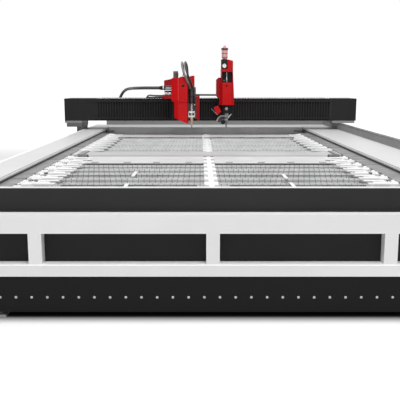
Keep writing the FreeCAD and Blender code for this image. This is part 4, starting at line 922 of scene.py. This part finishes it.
HOPPER_AT = (0.212, 2.000)
HOPPER_BAND_Z = (2.040, 2.092, 2.144)
lid_plastic = finish("lid_plastic", tone(84, 48, 54), tone(60, 34, 40), 0.6, 30, 0.35, 0.1)
cap_plastic = finish("cap_plastic", tone(226, 150, 158), tone(206, 120, 132), 0.6, 30, 0.3, 0.1)
turned("hopper_lid", [(0.048, -0.002), (0.0545, 0.002), (0.0545, 0.020), (0.046, 0.0262)],
       [(*HOPPER_AT, 2.155)], (0, 0, 1), 32, lid_plastic, "right_head")
turned("hopper_cap", [(0.030, 0.0), (0.026, 0.008), (0.017, 0.018), (0.0165, 0.0358), (0.012, 0.0362)],
       [(*HOPPER_AT, 2.180)], (0, 0, 1), 24, cap_plastic, "right_head")
turned("hopper_bands", [(0.0465, 0.0), (0.0480, 0.001), (0.0480, 0.006), (0.0465, 0.007)],
       [(*HOPPER_AT, z) for z in HOPPER_BAND_Z], (0, 0, 1), 32, lid_plastic, "right_head")

# The right housing's recess is a dark disc of painted shade.
RECESS_AT = (0.2407, right_front, 1.611)
RIGHT_SEAMS = ((0.176, 0.180), (0.318, 0.322))
RIGHT_SEAM_Z = (1.330, 1.640)
turned("right_recess", [(0.015, -0.001), (0.014, 0.0015)], [RECESS_AT], (0, -1, 0), 20, hole_painted_shade,
       "right_head")
bars("right_housing_seams",
     [(left, right_front - SKIN, RIGHT_SEAM_Z[0]) for left, right in RIGHT_SEAMS],
     [(right, right_front, RIGHT_SEAM_Z[1]) for left, right in RIGHT_SEAMS], seam_and_shade_red, "right_head",
     "red_paint")

# Wrist
# A dark drum with a grey cover that turns the head, the rimmed arc that it carries, and the nozzle
# on its dark pivot hub. A thin grey guard plate leans on the small drive box.
drum_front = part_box("right_wrist_drum")[0][1]
part_grey = finish("part_grey", tone(150), tone(116), 0.6, 24, 0.4, 0.1, 0.1)
WRIST_AT = (0.248, 2.0)
DRUM_BAND_Z = (1.205, 1.250, 1.284)
DRUM_COVER_AT = (0.2427, drum_front, 1.262)
turned("drum_bands", [(0.0825, 0.0), (0.0845, 0.001), (0.0845, 0.007), (0.0825, 0.008)],
       [(*WRIST_AT, z) for z in DRUM_BAND_Z], (0, 0, 1), 40, seal_black, "wrist")
turned("drum_cover", [(0.024, -0.004), (0.024, 0.004), (0.020, 0.007)], [DRUM_COVER_AT],
       (0, -1, 0), 20, part_grey, "wrist")
arc_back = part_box("right_arc_link")[1][1]
PIVOT = (0.193, 1.055)
web_dark = finish("web_dark", tone(56), tone(36), 0.7, 30, 0.45, 0.1)
WEB_STEPS = 24
WEB_RADII = (0.034, 0.080)
WEB_IN = 0.0095
WEB_THICK = 0.0012
web_angle = np.radians(np.linspace(64, 186, WEB_STEPS))
web_ring = np.stack([np.cos(web_angle), np.sin(web_angle)], -1)
web_grid = np.array(PIVOT) + web_ring[None] * np.array(WEB_RADII)[:, None, None]
web_points = np.insert(web_grid.reshape(-1, 2), 1, arc_back - WEB_IN, axis=1)
web_back = web_points + (0, WEB_THICK, 0)
front_quads = grid_faces(2, WEB_STEPS)
back_quads = front_quads[:, ::-1] + 2 * WEB_STEPS
rim_loop = np.r_[np.arange(WEB_STEPS), np.arange(2 * WEB_STEPS - 1, WEB_STEPS - 1, -1)]
rim_quads = np.c_[rim_loop, np.roll(rim_loop, -1), np.roll(rim_loop, -1) + 2 * WEB_STEPS,
                  rim_loop + 2 * WEB_STEPS]
piece("arc_web_face", np.r_[web_points, web_back], np.r_[front_quads, back_quads, rim_quads],
      web_dark, "wrist")
turned("pivot_hub", [(0.030, 0.0), (0.034, 0.002), (0.034, 0.014), (0.028, 0.020), (0.012, 0.021)],
       [(PIVOT[0], WRIST_AT[1] - 0.001, PIVOT[1])], (0, -1, 0), 32, seal_black, "nozzle")
NUT_AT = (0.242, 2.0, 1.080)
turned("nozzle_nut", [(0.023, 0.0), (0.025, 0.002), (0.025, 0.020), (0.023, 0.022)],
       [NUT_AT], (0, 0, 1), 6, bright_steel, "nozzle", smooth=False)


def slanted_bar(name, start, end, wide, thick, material, body, across=(0, 1, 0)):
    """A flat bar between two points: each corner is an end plus or minus half its width and height."""
    start, end, across = (np.array(value, float) for value in (start, end, across))
    along = (end - start) / np.linalg.norm(end - start)
    up = np.cross(along, across)
    up /= np.linalg.norm(up)
    side = np.cross(up, along)
    signs = BAR_CORNERS * 2 - 1
    ends = np.where(BAR_CORNERS[:, :1] == 0, start, end)
    points = ends + signs[:, 1:2] * side * wide / 2 + signs[:, 2:3] * up * thick / 2
    return piece(name, points, BAR_FACES, material, body)


LUG_Y = arc_back - 0.006
GUARD_Y = 1.962
slanted_bar("arc_lug", (0.262, LUG_Y, 1.100), (0.322, LUG_Y, 1.178), 0.010, 0.014, bright_steel,
            "wrist")
slanted_bar("box_guard_plate", (0.008, GUARD_Y, 1.262), (0.104, GUARD_Y, 1.166), 0.060, 0.006,
            part_grey, "wrist")


# Studio
# A pale floor with a painted contact shadow that is dark under the machine and fades to white round it,
# and large soft lamps above and in front.
FLOOR_HALF = 60.0
floor_mesh = bpy.data.meshes.new("studio_floor")
floor_mesh.from_pydata([
    (-FLOOR_HALF, -FLOOR_HALF, 0), (FLOOR_HALF, -FLOOR_HALF, 0),
    (FLOOR_HALF, FLOOR_HALF, 0), (-FLOOR_HALF, FLOOR_HALF, 0),
], [], [(0, 1, 2, 3)])
floor = bpy.data.objects.new("studio_floor", floor_mesh)
bpy.context.collection.objects.link(floor)
floor_paint = bpy.data.materials.new("studio_floor")
floor_paint.use_nodes = True
floor_tree = floor_paint.node_tree
floor_shader = floor_tree.nodes["Principled BSDF"]
floor_shader.inputs["Roughness"].default_value = 0.9
floor_shader.inputs["Specular IOR Level"].default_value = 0.0
floor_shader.inputs["Emission Color"].default_value = (1, 1, 1, 1)
FLOOR_WHITE = (0.96, 0.96, 0.96, 1)
# The black of the floor's painted contact shadow under the machine.
PAINTED_SHADOW_BLACK = (0.03, 0.03, 0.03, 1)
FLOOR_GLOW = 0.15
FAR_GLOW = 0.85
GLOW_NEAR = 0.6
GLOW_FAR = 9.0
PAINTED_SHADOW_DEEP = -0.06
PAINTED_SHADOW_EDGE = 0.15


def floor_math(operation, *values):
    """A math node of the floor's material: its inputs are numbers or the outputs of other nodes."""
    made = floor_tree.nodes.new("ShaderNodeMath")
    made.operation = operation
    for place, value in enumerate(values):
        if isinstance(value, bpy.types.NodeSocket):
            floor_tree.links.new(value, made.inputs[place])
        else:
            made.inputs[place].default_value = value
    return made.outputs[0]


def floor_range(value, low, high, start, end):
    """A value turned from one range into another and held within it."""
    made = floor_tree.nodes.new("ShaderNodeMapRange")
    made.interpolation_type = "SMOOTHSTEP"
    for label, number in (("From Min", low), ("From Max", high), ("To Min", start), ("To Max", end)):
        made.inputs[label].default_value = number
    floor_tree.links.new(value, made.inputs["Value"])
    return made.outputs["Result"]


floor_place = floor_tree.nodes.new("ShaderNodeTexCoord")
floor_apart = floor_tree.nodes.new("ShaderNodeSeparateXYZ")
floor_tree.links.new(floor_place.outputs["Object"], floor_apart.inputs[0])
out_x, out_y = (
    floor_math("SUBTRACT", floor_math("ABSOLUTE", floor_apart.outputs[label]), float(edge))
    for label, edge in (("X", high_skirt[0]), ("Y", high_skirt[1]))
)
outside = floor_math("MAXIMUM", out_x, out_y)
# Painted contact shadow: the floor's colour runs from black just inside the machine's footprint to
# white just outside it, and its glow is held back there too.
painted_shadow_mask = floor_range(outside, PAINTED_SHADOW_DEEP, PAINTED_SHADOW_EDGE, 0.0, 1.0)
far_level = floor_range(outside, GLOW_NEAR, GLOW_FAR, FLOOR_GLOW, FAR_GLOW)
floor_shadow_blend = floor_tree.nodes.new("ShaderNodeMix")
floor_shadow_blend.data_type = "RGBA"
floor_shadow_blend.inputs["A"].default_value = PAINTED_SHADOW_BLACK
floor_shadow_blend.inputs["B"].default_value = FLOOR_WHITE
floor_tree.links.new(painted_shadow_mask, floor_shadow_blend.inputs["Factor"])
floor_tree.links.new(floor_shadow_blend.outputs["Result"], floor_shader.inputs["Base Color"])
floor_rays = floor_tree.nodes.new("ShaderNodeLightPath")
floor_seen = floor_math("MAXIMUM", floor_rays.outputs["Is Camera Ray"],
                        floor_rays.outputs["Is Glossy Ray"])
floor_glow = floor_math("MULTIPLY", floor_seen, floor_math("MULTIPLY", far_level, painted_shadow_mask))
floor_tree.links.new(floor_glow, floor_shader.inputs["Emission Strength"])
floor.data.materials.append(floor_paint)

world = bpy.data.worlds.new("studio")
bpy.context.scene.world = world
world.use_nodes = True
air = world.node_tree.nodes["Background"]
air.inputs["Color"].default_value = (1, 1, 1, 1)
WORLD_LIGHT = 0.3
path = world.node_tree.nodes.new("ShaderNodeLightPath")
either = world.node_tree.nodes.new("ShaderNodeMath")
either.operation = "MAXIMUM"
level = world.node_tree.nodes.new("ShaderNodeMapRange")
level.inputs["To Min"].default_value = WORLD_LIGHT
level.inputs["To Max"].default_value = 1.0
links = world.node_tree.links
links.new(path.outputs["Is Camera Ray"], either.inputs[0])
links.new(path.outputs["Is Glossy Ray"], either.inputs[1])
links.new(either.outputs[0], level.inputs["Value"])
links.new(level.outputs["Result"], air.inputs["Strength"])


def lamp(name, place, aim, size, watts):
    """A square soft lamp that points at a place."""
    data = bpy.data.lights.new(name, "AREA")
    data.energy = watts
    data.size = size
    made = bpy.data.objects.new(name, data)
    bpy.context.collection.objects.link(made)
    made.location = place
    made.rotation_euler = (Vector(aim) - Vector(place)).to_track_quat("-Z", "Y").to_euler()
    return made


lamp("lamp_above", (0.5, 1.5, 9.0), (0, 1.5, 0), 9.0, 330)
lamp("lamp_key", (1.0, -7.4, 11.0), (0, -3, 0.5), 6.0, 880)
lamp("lamp_front", (0.0, -30.0, 4.0), (0, 2, 0.9), 6.0, 1150)
